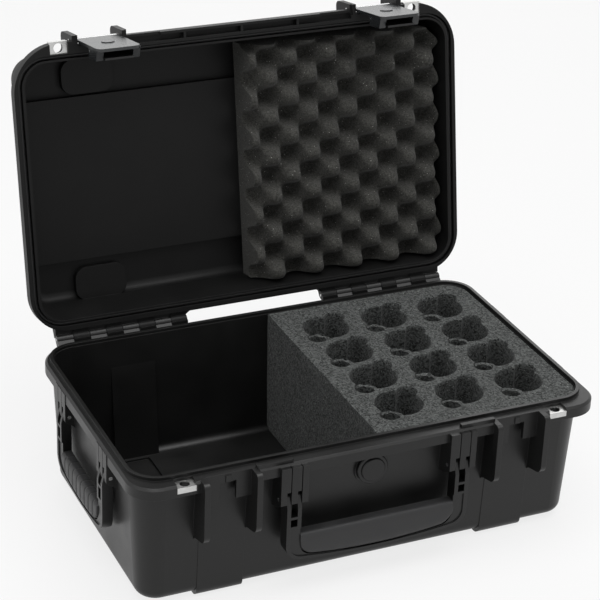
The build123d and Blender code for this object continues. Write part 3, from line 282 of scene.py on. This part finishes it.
# %% Brushed steel
def brushed_steel(name, colour, gloss):
    """Bare steel with lines along x; smears are a little darker than the colour."""
    finish, nodes, links, shader, place = new_finish(name)
    lines = noise_at(nodes, links, place, size=0.25 * mm, stretch=(1 / 50, 1, 1))
    smears = noise_at(nodes, links, place, size=9 * mm, detail=3.0)
    smeared = tuple(c * 0.86 for c in colour)
    links.new(ramp(nodes, links, smears, (0.3, smeared), (0.7, colour)),
              shader.inputs["Base Color"])
    links.new(ramp(nodes, links, lines, (0.3, gloss[0]), (0.7, gloss[1])),
              shader.inputs["Roughness"])
    rounded = round_edges(nodes, 0.25 * mm)
    links.new(emboss(nodes, links, lines, 0.01 * mm, rounded), shader.inputs["Normal"])
    shader.inputs["Metallic"].default_value = 1.0
    return finish


plate_steel = brushed_steel("plate_steel", colour=(0.62, 0.62, 0.61), gloss=(0.24, 0.38))
pin_steel = brushed_steel("pin_steel", colour=(0.55, 0.55, 0.55), gloss=(0.2, 0.32))
print("steels:", plate_steel.name, pin_steel.name)

# %% [markdown]
# Open-cell foam is a heap of tiny bubbles. Where the knife cut it, each bubble shows as its own
# small facet, some pale and some dark, so the surface looks salt-and-pepper at a millimetre or two.
# A Voronoi pattern gives such facets: its colour output is one random value for each cell. A second,
# sparser Voronoi pattern gives the few bright specks of torn cell walls, and the distance to each
# cell's middle goes into the surface as pores.

# %% Cut foam
def cut_foam(name, pore, body, speck, cell, speck_cell, speck_size, pore_depth):
    """Foam whose cells run from pore to body in colour, with one speck in each speck_cell."""
    finish, nodes, links, shader, place = new_finish(name)
    cells = bubbles_at(nodes, links, place, cell)
    one_grey = nodes.new("ShaderNodeSeparateColor")
    links.new(cells.outputs["Color"], one_grey.inputs["Color"])
    ground = ramp(nodes, links, one_grey.outputs["Red"], (0.0, pore), (1.0, body))
    sparkle = bubbles_at(nodes, links, place, speck_cell)
    reach = speck_size / speck_cell
    tint = ramp(nodes, links, sparkle.outputs["Distance"], (reach / 2, 1.0), (reach, 0.0))
    mix = nodes.new("ShaderNodeMixRGB")
    links.new(tint, mix.inputs["Fac"])
    links.new(ground, mix.inputs["Color1"])
    mix.inputs["Color2"].default_value = (*speck, 1)
    links.new(mix.outputs["Color"], shader.inputs["Base Color"])
    shader.inputs["Roughness"].default_value = 0.95
    shader.inputs["Specular IOR Level"].default_value = 0.1
    shader.inputs["Sheen Weight"].default_value = 0.1
    shader.inputs["Sheen Roughness"].default_value = 0.5
    links.new(emboss(nodes, links, cells.outputs["Distance"], pore_depth), shader.inputs["Normal"])
    return finish


block_foam = cut_foam("block_foam", pore=(0.015, 0.0158, 0.0152), body=(0.118, 0.124, 0.121),
                      speck=(0.32, 0.33, 0.32), cell=1.7 * mm, speck_cell=5.0 * mm,
                      speck_size=0.6 * mm, pore_depth=0.5 * mm)
crate_foam = cut_foam("egg_crate_foam", pore=(0.030, 0.030, 0.027), body=(0.078, 0.077, 0.071),
                      speck=(0.60, 0.60, 0.57), cell=1.3 * mm, speck_cell=5.5 * mm,
                      speck_size=0.5 * mm, pore_depth=0.4 * mm)
print("foams:", block_foam.name, crate_foam.name)

# %% [markdown]
# Each CAD node now gets its finish. The node names say what a piece is, so a short table from a part
# of the name to a finish is enough. The first match counts, so the valve's rubber seal comes before
# the rest of the valve.

# %% Finish the CAD nodes
finish_of = [
    ("base_shell", shell_resin), ("lid_shell", lid_resin_painted_shade), ("padlock_plate", plate_steel),
    ("hinge_pin", pin_steel), ("latch_pin", pin_steel), ("trigger_pin", pin_steel),
    ("handle_pins", pin_steel), ("trigger_spring", pin_steel), ("latch_body", latch_resin),
    ("latch_trigger", handle_resin), ("handle_frame", handle_resin), ("valve_seal", gasket_rubber),
    ("valve", valve_resin),
]
for node_name, node in frame["nodes"].items():
    for word, finish in finish_of:
        if word in node_name:
            node.data.materials.clear()
            node.data.materials.append(finish)
            break
print("finished", sum(1 for n in frame["nodes"].values() if n.data.materials), "nodes")

# %% [markdown]
# The foam block fills the right half of the tub. On the real thing a slab is die cut: a round well
# for each microphone, and a smaller round hole at two opposite sides of it, so that two fingers can
# reach down beside the microphone. The far finger hole opens into the well all the way down. The
# near one keeps a curved web of foam round it, which starts a little below the top.

# %% Sizes of the foam block
block_left, block_right, block_half_y = 8.5 * mm, 263.5 * mm, 151.5 * mm
block_corner, block_top, block_bottom = 28.5 * mm, rim, 8.5 * mm
block_lean = math.tan(math.radians(3.0))
well_radius, well_floor = 27.5 * mm, rim - 118 * mm
finger_radius, finger_at = 12 * mm, Vector((20 * mm, 20 * mm))   # from the well's middle
web, web_top = 5.0 * mm, rim - 6.0 * mm
well_columns, well_rows = 3, 4
well_pitch_x, well_pitch_y = 75.3 * mm, 64 * mm
wells_x, wells_y = 136.15 * mm, 1.7 * mm                         # middle of all the wells
wells = [(wells_x + (c - (well_columns - 1) / 2) * well_pitch_x,
          wells_y + (r - (well_rows - 1) / 2) * well_pitch_y)
         for c in range(well_columns) for r in range(well_rows)]
print("wells:", len(wells), "each", round(2 * well_radius / mm), "mm across")

# %% [markdown]
# The outline of one set of holes is easy in polar form, seen from the well's middle: the well's
# radius, or the far side of a finger hole where that reaches further. The web is an arc round the
# near finger hole, and polar form gives its two sides as well.

# %% How far a hole reaches in one direction
finger_far = finger_at.length
finger_angle = math.atan2(finger_at.y, finger_at.x)


def off_finger(angle, turn):
    """Angle between a direction and the far (0) or near (pi) finger hole's middle."""
    return (angle - finger_angle - turn + math.pi) % (2 * math.pi) - math.pi


def circle_reach(off, radius, side):
    """Distance to the near (-1) or far (1) side of a circle round a finger hole's middle."""
    across = finger_far * math.sin(off)
    if abs(off) > math.pi / 2 or abs(across) > radius:
        return 0.0
    return finger_far * math.cos(off) + side * math.sqrt(radius ** 2 - across ** 2)


def hole_reach(angle):
    """Distance from the well's middle to the outline of the well and its finger holes."""
    fingers = (circle_reach(off_finger(angle, turn), finger_radius, 1) for turn in (0, math.pi))
    return max(well_radius, *fingers)


half_finger = math.acos((well_radius ** 2 + finger_far ** 2 - finger_radius ** 2)
                        / (2 * well_radius * finger_far))
half_web = math.asin((finger_radius + web) / finger_far)
print("finger holes reach", round(hole_reach(finger_angle) / mm, 1), "mm from the well's middle")

# %% [markdown]
# All rings of one well share the same directions, so that quads join them straight down. The
# directions are packed closer across a finger hole and its web, because the outline has its corners
# there.

# %% Directions round a well
def spread(start, end, count):
    """Evenly spaced angles from the start up to the end, without the end itself."""
    return [start + (end - start) * i / count for i in range(count)]


finger_steps, wall_steps, web_steps = 26, 30, 8
far_middle, near_middle = finger_angle, finger_angle + math.pi
well_angles = (spread(far_middle - half_finger, far_middle + half_finger, finger_steps)
               + spread(far_middle + half_finger, near_middle - half_web, wall_steps)
               + spread(near_middle - half_web, near_middle - half_finger, web_steps)
               + spread(near_middle - half_finger, near_middle + half_finger, finger_steps)
               + spread(near_middle + half_finger, near_middle + half_web, web_steps)
               + spread(near_middle + half_web, far_middle + 2 * math.pi - half_finger, wall_steps))
off_near = [off_finger(a, math.pi) for a in well_angles]
in_web = [abs(off) < half_web - tiny for off in off_near]
in_finger = [abs(off) < half_finger - tiny for off in off_near]
outline_reach = [hole_reach(a) for a in well_angles]
below_web = [circle_reach(off, finger_radius + web, -1) if web_here else reach
             for off, web_here, reach in zip(off_near, in_web, outline_reach)]
web_side = [circle_reach(off, finger_radius, -1) if finger_here else reach
            for off, finger_here, reach in zip(off_near, in_finger, outline_reach)]
print("corners in one ring:", len(well_angles))

# %% [markdown]
# The block is a rounded rectangle seen from above, cut straight on its left, where it faces the
# empty compartment. The points right of the cut are kept and put in order from the cut's near end
# to its far end, and the cut itself is filled in with points that face left.

# %% The block's outline
def left_point(y):
    """A point of the left face: outward is left, and a little along the face towards its ends."""
    return (block_left, y, -1, y / block_half_y)


left_rows = 50
right_part = [p for p in rounded_path(block_right, block_half_y, block_corner, 6 * mm)
              if p[0] > block_left]
start = next(i for i, p in enumerate(right_part) if right_part[i - 1][1] > p[1] + block_half_y)
outline = [left_point(-block_half_y)] + right_part[start:] + right_part[:start]
outline += [left_point(block_half_y - 2 * block_half_y * i / left_rows) for i in range(left_rows)]
print("points in the block's outline:", len(outline))

# %% [markdown]
# The block's top face is a sheet with twelve holes. A Delaunay triangulation takes the outline,
# the holes' outlines and a loose grid of points between them, and fills the sheet with even
# triangles. The sheet stops short of every edge by the width of a small round-over.

# %% Loops of the top sheet
edge_drop, edge_in = 0.9 * mm, 0.7 * mm
flat_points, flat_edges = [], []


def add_loop(points):
    """Adds a closed loop of flat points with its edges, and gives back their numbers."""
    first = len(flat_points)
    flat_points.extend(Vector(p) for p in points)
    flat_edges.extend((first + i, first + (i + 1) % len(points)) for i in range(len(points)))
    return list(range(first, len(flat_points)))


outer_loop = add_loop([(p[0] - edge_in * p[2], p[1] - edge_in * p[3]) for p in outline])
hole_loops = [add_loop([(cx + (r + edge_in) * math.cos(a), cy + (r + edge_in) * math.sin(a))
                        for a, r in zip(well_angles, outline_reach)]) for cx, cy in wells]
print("loops: 1 outside,", len(hole_loops), "holes,", len(flat_points), "points")

# %% [markdown]
# The grid's points let the sheet sink and swell by a few tenths of a millimetre. They keep away
# from the loops, so that no triangle there gets too thin.

# %% Points between the loops
grid, keep_off = 6 * mm, 3 * mm
same_point = 1e-7                       # points nearer than this are one


def past_corner(x, y):
    """Distance of a place beyond the round corners on the right, negative on the block."""
    dx, dy = x - block_right + block_corner, abs(y) - block_half_y + block_corner
    return math.hypot(dx, dy) - block_corner if dx > 0 and dy > 0 else -block_corner


def past_hole(x, y, cx, cy):
    """Distance of a place from the outline of the holes round one well, negative inside it."""
    return math.hypot(x - cx, y - cy) - hole_reach(math.atan2(y - cy, x - cx))


for i in range(1, int((block_right - block_left) / grid)):
    for j in range(1, int(2 * block_half_y / grid) + 1):
        x = block_left + i * grid + (j % 2) * grid / 2
        y = -block_half_y + j * grid
        nearest = min(wells, key=lambda well: math.dist(well, (x, y)))
        if (block_half_y - abs(y) >= keep_off and x <= block_right - keep_off
                and past_corner(x, y) <= -keep_off and past_hole(x, y, *nearest) >= keep_off):
            flat_points.append(Vector((x, y)))
sheet_points, _, sheet_faces, point_sources, _, _ = delaunay_2d_cdt(
    flat_points, flat_edges, [], 0, same_point)
print("top sheet:", len(sheet_points), "corners", len(sheet_faces), "triangles")

# %% [markdown]
# The triangulation covers the holes too, so each triangle is kept only if its middle is on the
# foam. What is left becomes the block's top, and the numbers of its corners along each outline are
# looked up again, because the walls start there.

# %% Keep the triangles on the foam
def soft_wave(x, y, z, size, amount, seed):
    """A slow bulge, such as cut foam shows. Every seed gives another pattern."""
    return amount * noise.noise(Vector((x / size, y / size, z / size + seed)))


def on_foam(x, y):
    """Whether a place on the sheet is foam."""
    if x < block_left + edge_in or x > block_right or abs(y) > block_half_y - edge_in:
        return False
    return past_corner(x, y) <= -edge_in and all(past_hole(x, y, cx, cy) >= edge_in
                                                 for cx, cy in wells)


sheet_sink = 0.35 * mm
corners, faces = [], []
for p in sheet_points:
    sink = sheet_sink * max(0.0, 0.5 + soft_wave(p.x, p.y, 0, size=45 * mm, amount=1.0, seed=3.1))
    corners.append(Vector((p.x, p.y, block_top - sink)))
for a, b, c in sheet_faces:
    here, there, last = sheet_points[a], sheet_points[b], sheet_points[c]
    middle = (here + there + last) / 3
    if on_foam(middle.x, middle.y):
        faces.append((a, b, c) if (there - here).cross(last - here) > 0 else (a, c, b))
number_of = {source: number for number, sources in enumerate(point_sources) for source in sources}
print("foam triangles:", len(faces))

# %% [markdown]
# The outer walls hang from the outline. They lean in three degrees with the tub, and the knife has
# left the long left face slightly wavy, which is the face seen from the empty compartment. The
# bottom edge is tucked in a little, because the tub's floor meets its walls in a round corner.

# %% The block's outer walls
foot, foot_middle = 8 * mm, 3 * mm      # height of the tucked-in edge, and of the ring on it
wall_step, wall_rings = 12 * mm, 11
wall_gap = 0.2 * mm                     # room between the foam and the tub
cut_depth, cut_tuck = 0.5 * mm, 0.2     # how uneven the left face is, and its share of the tuck


def wall_point(p, z):
    """The outline's point p at a height."""
    inset = (block_top - z) * block_lean
    tuck = max(0.0, foot - (z - block_bottom)) ** 2 / (2 * foot)
    if p[0] > block_left + tiny:
        return Vector((p[0] - (inset + wall_gap + tuck) * p[2],
                       p[1] - (inset + wall_gap + tuck) * p[3], z))
    y = p[1] - inset * p[3]
    cut = cut_depth + soft_wave(p[0], y, z, size=38 * mm, amount=cut_depth, seed=7.7)
    return Vector((p[0] + cut + tuck * cut_tuck, y, z))


heights = [block_top - edge_drop] + [block_top - wall_step * (i + 1) for i in range(wall_rings)]
heights += [block_bottom + foot, block_bottom + foot_middle, block_bottom]
rings = [[number_of[i] for i in outer_loop]]
rings += [add_ring(corners, [wall_point(p, z) for p in outline]) for z in heights]
join_rings(faces, rings[::-1])
faces.append(tuple(reversed(rings[-1])))
print("the outer walls have", len(rings), "rings")

# %% [markdown]
# Inside a well the wall goes down in three stages: the shared outline down to the web's top, a
# ledge that is the web's own upper edge, and from there two separate holes. Each ring gets a small
# bulge, because foam never cuts as clean as the die, and the web's top is torn rough.

# %% Rings of a well
def well_ring(cx, cy, reach, z, picks=range(len(well_angles))):
    """New corners round a well at a height, in all directions or only in some."""
    ring = []
    for i in picks:
        a, r = well_angles[i], reach[i]
        r += soft_wave(cx + r * math.cos(a), cy + r * math.sin(a), z,
                       size=16 * mm, amount=0.45 * mm, seed=1.3)
        ring.append(Vector((cx + r * math.cos(a), cy + r * math.sin(a), z)))
    return add_ring(corners, ring)


def add_patch(*numbers):
    """A quad, or a triangle where two of its corners are the same one."""
    faces.append(tuple(dict.fromkeys(numbers)))


def tear(numbers):
    """Roughens the height of the web's upper edge."""
    for n in numbers:
        corners[n].z += soft_wave(corners[n].x, corners[n].y, 0,
                                  size=5 * mm, amount=1.8 * mm, seed=9.0)


print("web top is", round((rim - web_top) / mm, 1), "mm below the rim")

# %% [markdown]
# One function makes the well and its two finger holes. The web's upper edge lies between two arcs,
# and where an arc meets the outline the two share a corner, so nothing is left open.

# %% One well
wall_shares = (0.08, 0.25, 0.45, 0.65, 0.85, 1.0)    # how far down each ring is below the web's top
floor_swell = 0.6 * mm
count = len(well_angles)
finger_run = [i for i in range(count) if in_finger[i]]
finger_run = [finger_run[0] - 1] + finger_run + [finger_run[-1] + 1]


def add_well(cx, cy, top_ring):
    """The walls and floors of one well and its finger holes, below a loop of the top sheet."""
    ledge = web_top + soft_wave(cx, cy, 0, size=30 * mm, amount=0.8 * mm, seed=5.0)
    upper = [top_ring, well_ring(cx, cy, outline_reach, block_top - edge_drop),
             well_ring(cx, cy, outline_reach, ledge)]
    join_rings(faces, upper)
    shared = upper[-1]
    web_front = well_ring(cx, cy, below_web, ledge)
    web_back = well_ring(cx, cy, web_side, ledge)
    tear([web_front[i] for i in range(count) if in_web[i]])
    tear([web_back[i] for i in range(count) if in_finger[i]])
    inner = [web_front[i] if in_web[i] else shared[i] for i in range(count)]
    back = [web_back[i] if in_finger[i] else shared[i] for i in range(count)]
    for i in range(count):
        k = (i + 1) % count
        if in_web[i] or in_web[k]:
            add_patch(inner[i], back[i], back[k], inner[k])
    depths = [ledge - (ledge - well_floor) * share for share in wall_shares]
    wall = [inner] + [well_ring(cx, cy, below_web, z) for z in depths]
    join_rings(faces, wall)
    middle = add_ring(corners, [Vector((cx, cy, well_floor + floor_swell))])[0]
    faces.extend((wall[-1][i], wall[-1][(i + 1) % count], middle) for i in range(count))
    far, near = [[shared[i] for i in finger_run]], [[back[i] for i in finger_run]]
    for z in depths:
        far.append(well_ring(cx, cy, outline_reach, z, finger_run))
        side = well_ring(cx, cy, web_side, z, finger_run)
        near.append([far[-1][0]] + side[1:-1] + [far[-1][-1]])
    join_rings(faces, far, closed=False)
    join_rings(faces, near[::-1], closed=False)
    for i in range(len(finger_run) - 1):
        add_patch(near[-1][i], far[-1][i], far[-1][i + 1], near[-1][i + 1])


for (cx, cy), loop in zip(wells, hole_loops):
    add_well(cx, cy, [number_of[i] for i in loop])
foam_block = make_piece("foam_block", corners, faces, block_foam,
                        "base", "mic_foam", sharp=50)

# %% [markdown]
# The lid's pad is convoluted foam. A slab is squeezed between two rollers with fingers and slit
# while it is squeezed; when it springs back, each half has rows of peaks and pits like an egg
# crate. The peaks stand in a checkerboard, so the product of two cosines puts them in the right
# places. A hyperbolic tangent then steepens the flanks and flattens the tips, as the real cut does.

# %% Sizes of the egg-crate pad
pad_left, pad_right = 9.5 * mm, 256.6 * mm
pad_front, pad_back, pad_corner = -139 * mm, 144.8 * mm, 23 * mm
pad_rear = 55.5 * mm                    # the flat face, above the rim of the closed case
pad_base, pad_peak = 18 * mm, 33.8 * mm
peak_x, peak_y, first_peak = 25.5 * mm, 23.5 * mm, Vector((11 * mm, -122 * mm))
steepness = 1.5
drift, drift_size = 1.6 * mm, 30 * mm   # how far the rows wander
uneven, uneven_size = 1.6 * mm, 40 * mm  # how much the peaks differ


def pad_height(x, y):
    """Thickness of the pad at a place, from the rear face to the cut surface."""
    drift_x = soft_wave(x, y, 0, drift_size, drift, seed=11.0)
    drift_y = soft_wave(x, y, 0, drift_size, drift, seed=17.0)
    wave = (math.cos(math.pi * (x + drift_x - first_peak.x) / peak_x)
            * math.cos(math.pi * (y + drift_y - first_peak.y) / peak_y))
    rise = 0.5 + 0.5 * math.tanh(steepness * wave) / math.tanh(steepness)
    return pad_base + (pad_peak + soft_wave(x, y, 0, uneven_size, uneven, seed=23.0)) * rise


print("pad is", round((pad_base + pad_peak) / mm), "mm thick at its peaks")

# %% [markdown]
# The cut surface is a grid of points, a millimetre and a half apart, that is stretched to the
# pad's outline: the two right-hand corners are rounded to sit in the lid's corners. The cut edge is
# worn down a little. From the edge, four more rings run back to the flat rear face.

# %% The egg-crate pad
columns, rows = 164, 188
edge_wear, wear_reach = 0.9 * mm, 2.5 * mm


def pad_right_at(y):
    """Where the pad ends on the right."""
    end = pad_back if y > 0 else -pad_front
    past = max(abs(y) - (end - pad_corner), 0)
    return pad_right - pad_corner + math.sqrt(max(pad_corner ** 2 - past ** 2, 0))


def pad_place(r, c):
    """The place of one point of the grid on the closed case."""
    y = pad_front + (pad_back - pad_front) * r / rows
    return pad_left + (pad_right_at(y) - pad_left) * c / columns, y


def pad_point(x, y):
    """The cut surface at one place."""
    edge = min(x - pad_left, pad_right_at(y) - x, y - pad_front, pad_back - y)
    worn = edge_wear * max(0.0, 1 - edge / wear_reach) ** 2
    return on_lid(x, y, pad_rear - pad_height(x, y) + worn)


corners, faces = [], []
pad_grid = [add_ring(corners, [pad_point(*pad_place(r, c)) for c in range(columns + 1)])
            for r in range(rows + 1)]
join_rings(faces, pad_grid, closed=False)
border = ([(0, c) for c in range(columns)] + [(r, columns) for r in range(rows)]
          + [(rows, c) for c in range(columns, 0, -1)] + [(r, 0) for r in range(rows, 0, -1)])
side = [[pad_grid[r][c] for r, c in border]]
for share in (0.75, 0.5, 0.25, 0.0):
    side.append(add_ring(corners, [on_lid(x, y, pad_rear - share * pad_height(x, y))
                                   for x, y in (pad_place(r, c) for r, c in border)]))
join_rings(faces, side[::-1])
faces.append(tuple(side[-1]))
crate_pad = make_piece("egg_crate_pad", corners, faces, crate_foam,
                       "lid", "lid_foam", sharp=60)

# %% [markdown]
# The gasket is a rubber cord that is pressed into the lid's groove. Only its rounded face shows.
# Its section is drawn once, as pairs of across and down, and swept along the groove's middle line.

# %% The lid's gasket
groove_half_x, groove_half_y, groove_corner = 267.1 * mm, 154.1 * mm, 32.1 * mm
gasket_low, gasket_high = 4.4 * mm, 8.9 * mm       # the rounded face and the groove's floor
gasket_half, squash, face_steps = 1.95 * mm, 0.9, 8
section = []
for i in range(face_steps + 1):
    a = math.pi * i / face_steps
    section.append((gasket_half * math.cos(a), gasket_low + gasket_half * squash * (1 - math.sin(a))))
section += [(-gasket_half * squash, gasket_high), (gasket_half * squash, gasket_high)]
corners, faces = [], []
groove = rounded_path(groove_half_x, groove_half_y, groove_corner, 8 * mm)
rings = [add_ring(corners, [on_lid(x + nx * across, y + ny * across, up) for x, y, nx, ny in groove])
         for across, up in section]
join_rings(faces, rings + [rings[0]])
make_piece("gasket_cord", corners, faces, gasket_rubber, "lid", "lid_gasket")

# %% [markdown]
# Each handle has a cushion of soft rubber moulded over its bar. Its section is a rounded box, and
# its lower edge follows the frame's thin bead, which bows down in the middle and turns up with a
# radius at both ends. The side handles' cushions are ribbed, so the section shrinks a little
# between the rings.

# %% Cushion shapes
around, smooth_stations, stations_in_rib = 40, 96, 14
bow, turn_up = 7 * mm, 15.4 * mm        # how far the bead sags, and the radius at its ends
pinch_depth, pinch_width, pinch_up = 1.1 * mm, 0.13, 0.4
crown = 0.35 * mm                       # how much the ends are thinner than the middle


def bead_height(along, half, low):
    """Height of the cushion's lower edge, at a distance along it from the middle."""
    arc = (half ** 2 + bow ** 2) / (2 * bow)
    past = max(abs(along) - (half - turn_up), 0.0)
    return (low + arc - math.sqrt(arc ** 2 - along ** 2)
            + turn_up - math.sqrt(max(turn_up ** 2 - past ** 2, 0.0)))


def rib_pinch(station):
    """How much the section shrinks between two ribs."""
    phase = (station % stations_in_rib) / stations_in_rib
    return pinch_depth * max(0.0, 1 - min(phase, 1 - phase) / pinch_width) ** 1.5


def boxy(value):
    """Pushes a sine or cosine outward, which turns a circle into a rounded box."""
    return math.copysign(abs(value) ** 0.5, value)


print("a circle's 45 degree point moves out from 0.71 to", round(boxy(math.sqrt(0.5)), 2))

# %% [markdown]
# One function makes any of the cushions. It works in the handle's own directions: along the bar,
# out from the wall, and up. The caller's place function turns these into a point of the case. A
# cushion without ribs has its stations packed closer at the ends, where the bead turns up.

# %% One cushion
def cushion(name, half, low, top, near, far, ribs, place, body, node):
    """place turns (along, out, up) into a point of the case."""
    corners, faces, rings = [], [], []
    stations = ribs * stations_in_rib if ribs else smooth_stations
    for s in range(stations + 1):
        share = s / stations if ribs else 0.5 - 0.5 * math.cos(math.pi * s / stations)
        along = -half + 2 * half * share
        bead = bead_height(along, half, low)
        pinch = rib_pinch(s) if ribs else 0.0
        half_out = (far - near) / 2 - pinch - crown * (along / half) ** 2
        half_up = (top - bead) / 2 - pinch * pinch_up
        angles = [2 * math.pi * i / around for i in range(around)]
        rings.append(add_ring(corners, [place(along, (near + far) / 2 + half_out * boxy(math.cos(a)),
                                              (top + bead) / 2 + half_up * boxy(math.sin(a)))
                                        for a in angles]))
    join_rings(faces, rings)
    faces += [tuple(rings[0]), tuple(reversed(rings[-1]))]
    here, beside, ahead = (corners[n] for n in (rings[0][0], rings[0][1], rings[1][0]))
    outward = here - place(0, (near + far) / 2, (top + low) / 2)
    if (ahead - here).cross(beside - here).dot(outward) > 0:
        faces = [tuple(reversed(face)) for face in faces]
    make_piece(name, corners, faces, grip_rubber, body, node)


# %% [markdown]
# The front cushion is the long one, smooth, and faces the user. The two on the ends are shorter and
# ribbed, and one is the mirror of the other.

# %% The three cushions
side_ribs = 9
cushion("front_cushion", half=91.3 * mm, low=41.7 * mm, top=75 * mm, near=161.35 * mm,
        far=179.15 * mm, ribs=0, place=lambda along, out, up: Vector((along, -out, up)),
        body="front_handle", node="front_handle_grip")
for side, way in (("left", -1), ("right", 1)):
    cushion(side + "_cushion", half=60.05 * mm, low=54.7 * mm, top=83 * mm, near=265.15 * mm,
            far=279.45 * mm, ribs=side_ribs,
            place=lambda along, out, up, way=way: Vector((way * out, along, up)),
            body=side + "_handle", node=side + "_handle_grip")

# %% [markdown]
# The case stands on a plain pale floor in a white room. For the camera, for mirrors and for glass
# the room is plain white; for everything else it is a soft light of its own. One helper tells the
# two kinds of ray apart.

# %% White to the eye
def white_to_the_eye(nodes, links):
    """1 for rays from the camera or from a reflection, 0 for the light on the object."""
    path = nodes.new("ShaderNodeLightPath")
    seen = path.outputs["Is Camera Ray"]
    for kind in ("Is Glossy Ray", "Is Transmission Ray"):
        either = nodes.new("ShaderNodeMath")
        either.operation = "MAXIMUM"
        links.new(seen, either.inputs[0])
        links.new(path.outputs[kind], either.inputs[1])
        seen = either.outputs[0]
    return seen


# %% [markdown]
# The floor is part white light and part matt paint, so it looks white but still keeps a soft
# shadow. It lies a fifth of a millimetre low, so that it never fights with the skids for the same
# place.

# %% Floor
floor_half, floor_drop, light_share = 9.0, 0.2 * mm, 0.8
floor_mesh = bpy.data.meshes.new("studio_floor")
floor_corners = [(x * floor_half, y * floor_half, 0) for x, y in ((-1, -1), (1, -1), (1, 1), (-1, 1))]
floor_mesh.from_pydata(floor_corners, [], [(0, 1, 2, 3)])
floor = bpy.data.objects.new("studio_floor", floor_mesh)
floor.location.z = -floor_drop
bpy.context.scene.collection.objects.link(floor)
paint = bpy.data.materials.new("floor_paint")
paint.use_nodes = True
nodes, links = paint.node_tree.nodes, paint.node_tree.links
matt = nodes["Principled BSDF"]
matt.inputs["Base Color"].default_value = (0.8, 0.8, 0.8, 1)
matt.inputs["Roughness"].default_value = 0.9
glow = nodes.new("ShaderNodeEmission")
glow.inputs["Strength"].default_value = 1.0
blend = nodes.new("ShaderNodeMixShader")
share = nodes.new("ShaderNodeMath")
share.operation = "MULTIPLY"
share.inputs[1].default_value = light_share
links.new(white_to_the_eye(nodes, links), share.inputs[0])
links.new(share.outputs[0], blend.inputs["Fac"])
links.new(matt.outputs["BSDF"], blend.inputs[1])
links.new(glow.outputs["Emission"], blend.inputs[2])
links.new(blend.outputs["Shader"], nodes["Material Output"].inputs["Surface"])
floor_mesh.materials.append(paint)
print("floor:", 2 * floor_half, "m square")

# %% [markdown]
# The room is Blender's world. Its strength is 1 to the eye, which is plain white, and about a third
# for the light it gives, so that the black shell stays black.

# %% Room
room_light = 0.34
room = bpy.data.worlds.new("white_room")
bpy.context.scene.world = room
room.use_nodes = True
nodes, links = room.node_tree.nodes, room.node_tree.links
light = nodes["Background"]
light.inputs["Color"].default_value = (1, 1, 1, 1)
strength = nodes.new("ShaderNodeMapRange")
strength.inputs["To Min"].default_value = room_light
strength.inputs["To Max"].default_value = 1.0
links.new(white_to_the_eye(nodes, links), strength.inputs["Value"])
links.new(strength.outputs["Result"], light.inputs["Strength"])
print("room light:", room_light)

# %% [markdown]
# Three softboxes do the rest, as in a product studio: a large one overhead that draws the foam's
# top and the upper edges, and two weak ones, at the left and behind, that keep the ends from going
# flat. Large lamps give soft shadows and long, soft highlights on the resin.

# %% Lamps
def softbox(name, at, towards, width, height, watts):
    """A rectangular lamp that faces a point."""
    lamp = bpy.data.lights.new(name, "AREA")
    lamp.shape = "RECTANGLE"
    lamp.size, lamp.size_y, lamp.energy = width, height, watts
    box = bpy.data.objects.new(name, lamp)
    box.location = at
    box.rotation_euler = (Vector(towards) - Vector(at)).to_track_quat("-Z", "Y").to_euler()
    bpy.context.scene.collection.objects.link(box)


softbox("left_softbox", at=(-2.6, -0.6, 1.6), towards=(0, 0, 0.2), width=1.8, height=1.8, watts=8)
softbox("top_softbox", at=(0.1, -0.3, 2.7), towards=(0, 0, 0.2), width=3.0, height=2.4, watts=62)
softbox("back_softbox", at=(1.1, 2.4, 1.5), towards=(0.1, 0.1, 0.4), width=1.6, height=1.4, watts=10)

# %% [markdown]
# The camera looks down on the case from the front left, through a long lens from two and a half
# metres, which keeps the sides of the case nearly parallel. A small roll levels it the way a hand
# on the tripod left it. The lens is worked out from a focal length in pixels of a square render.

# %% Camera
camera_at = Vector((-0.891239, -1.863907, 1.292616))
turn, tilt, roll = (math.radians(a) for a in (-25.047, 26.727, 2.289))
focal_px, render_px, sensor = 2087.995, 600, 36
ahead = Vector((-math.sin(turn) * math.cos(tilt), math.cos(turn) * math.cos(tilt), -math.sin(tilt)))
level = Vector((math.cos(turn), math.sin(turn), 0))
above = level.cross(ahead)
right = level * math.cos(roll) + above * math.sin(roll)
up = above * math.cos(roll) - level * math.sin(roll)
lens = bpy.data.cameras.new("studio_camera")
lens.sensor_width = sensor
lens.lens = focal_px * sensor / render_px
camera = bpy.data.objects.new("studio_camera", lens)
camera.matrix_world = Matrix((right, up, -ahead)).transposed().to_4x4()
camera.location = camera_at
bpy.context.scene.collection.objects.link(camera)
bpy.context.scene.camera = camera
bpy.context.scene.view_settings.view_transform = "Standard"
print("camera", round(camera_at.length, 2), "m away, lens", round(lens.lens, 1), "mm")
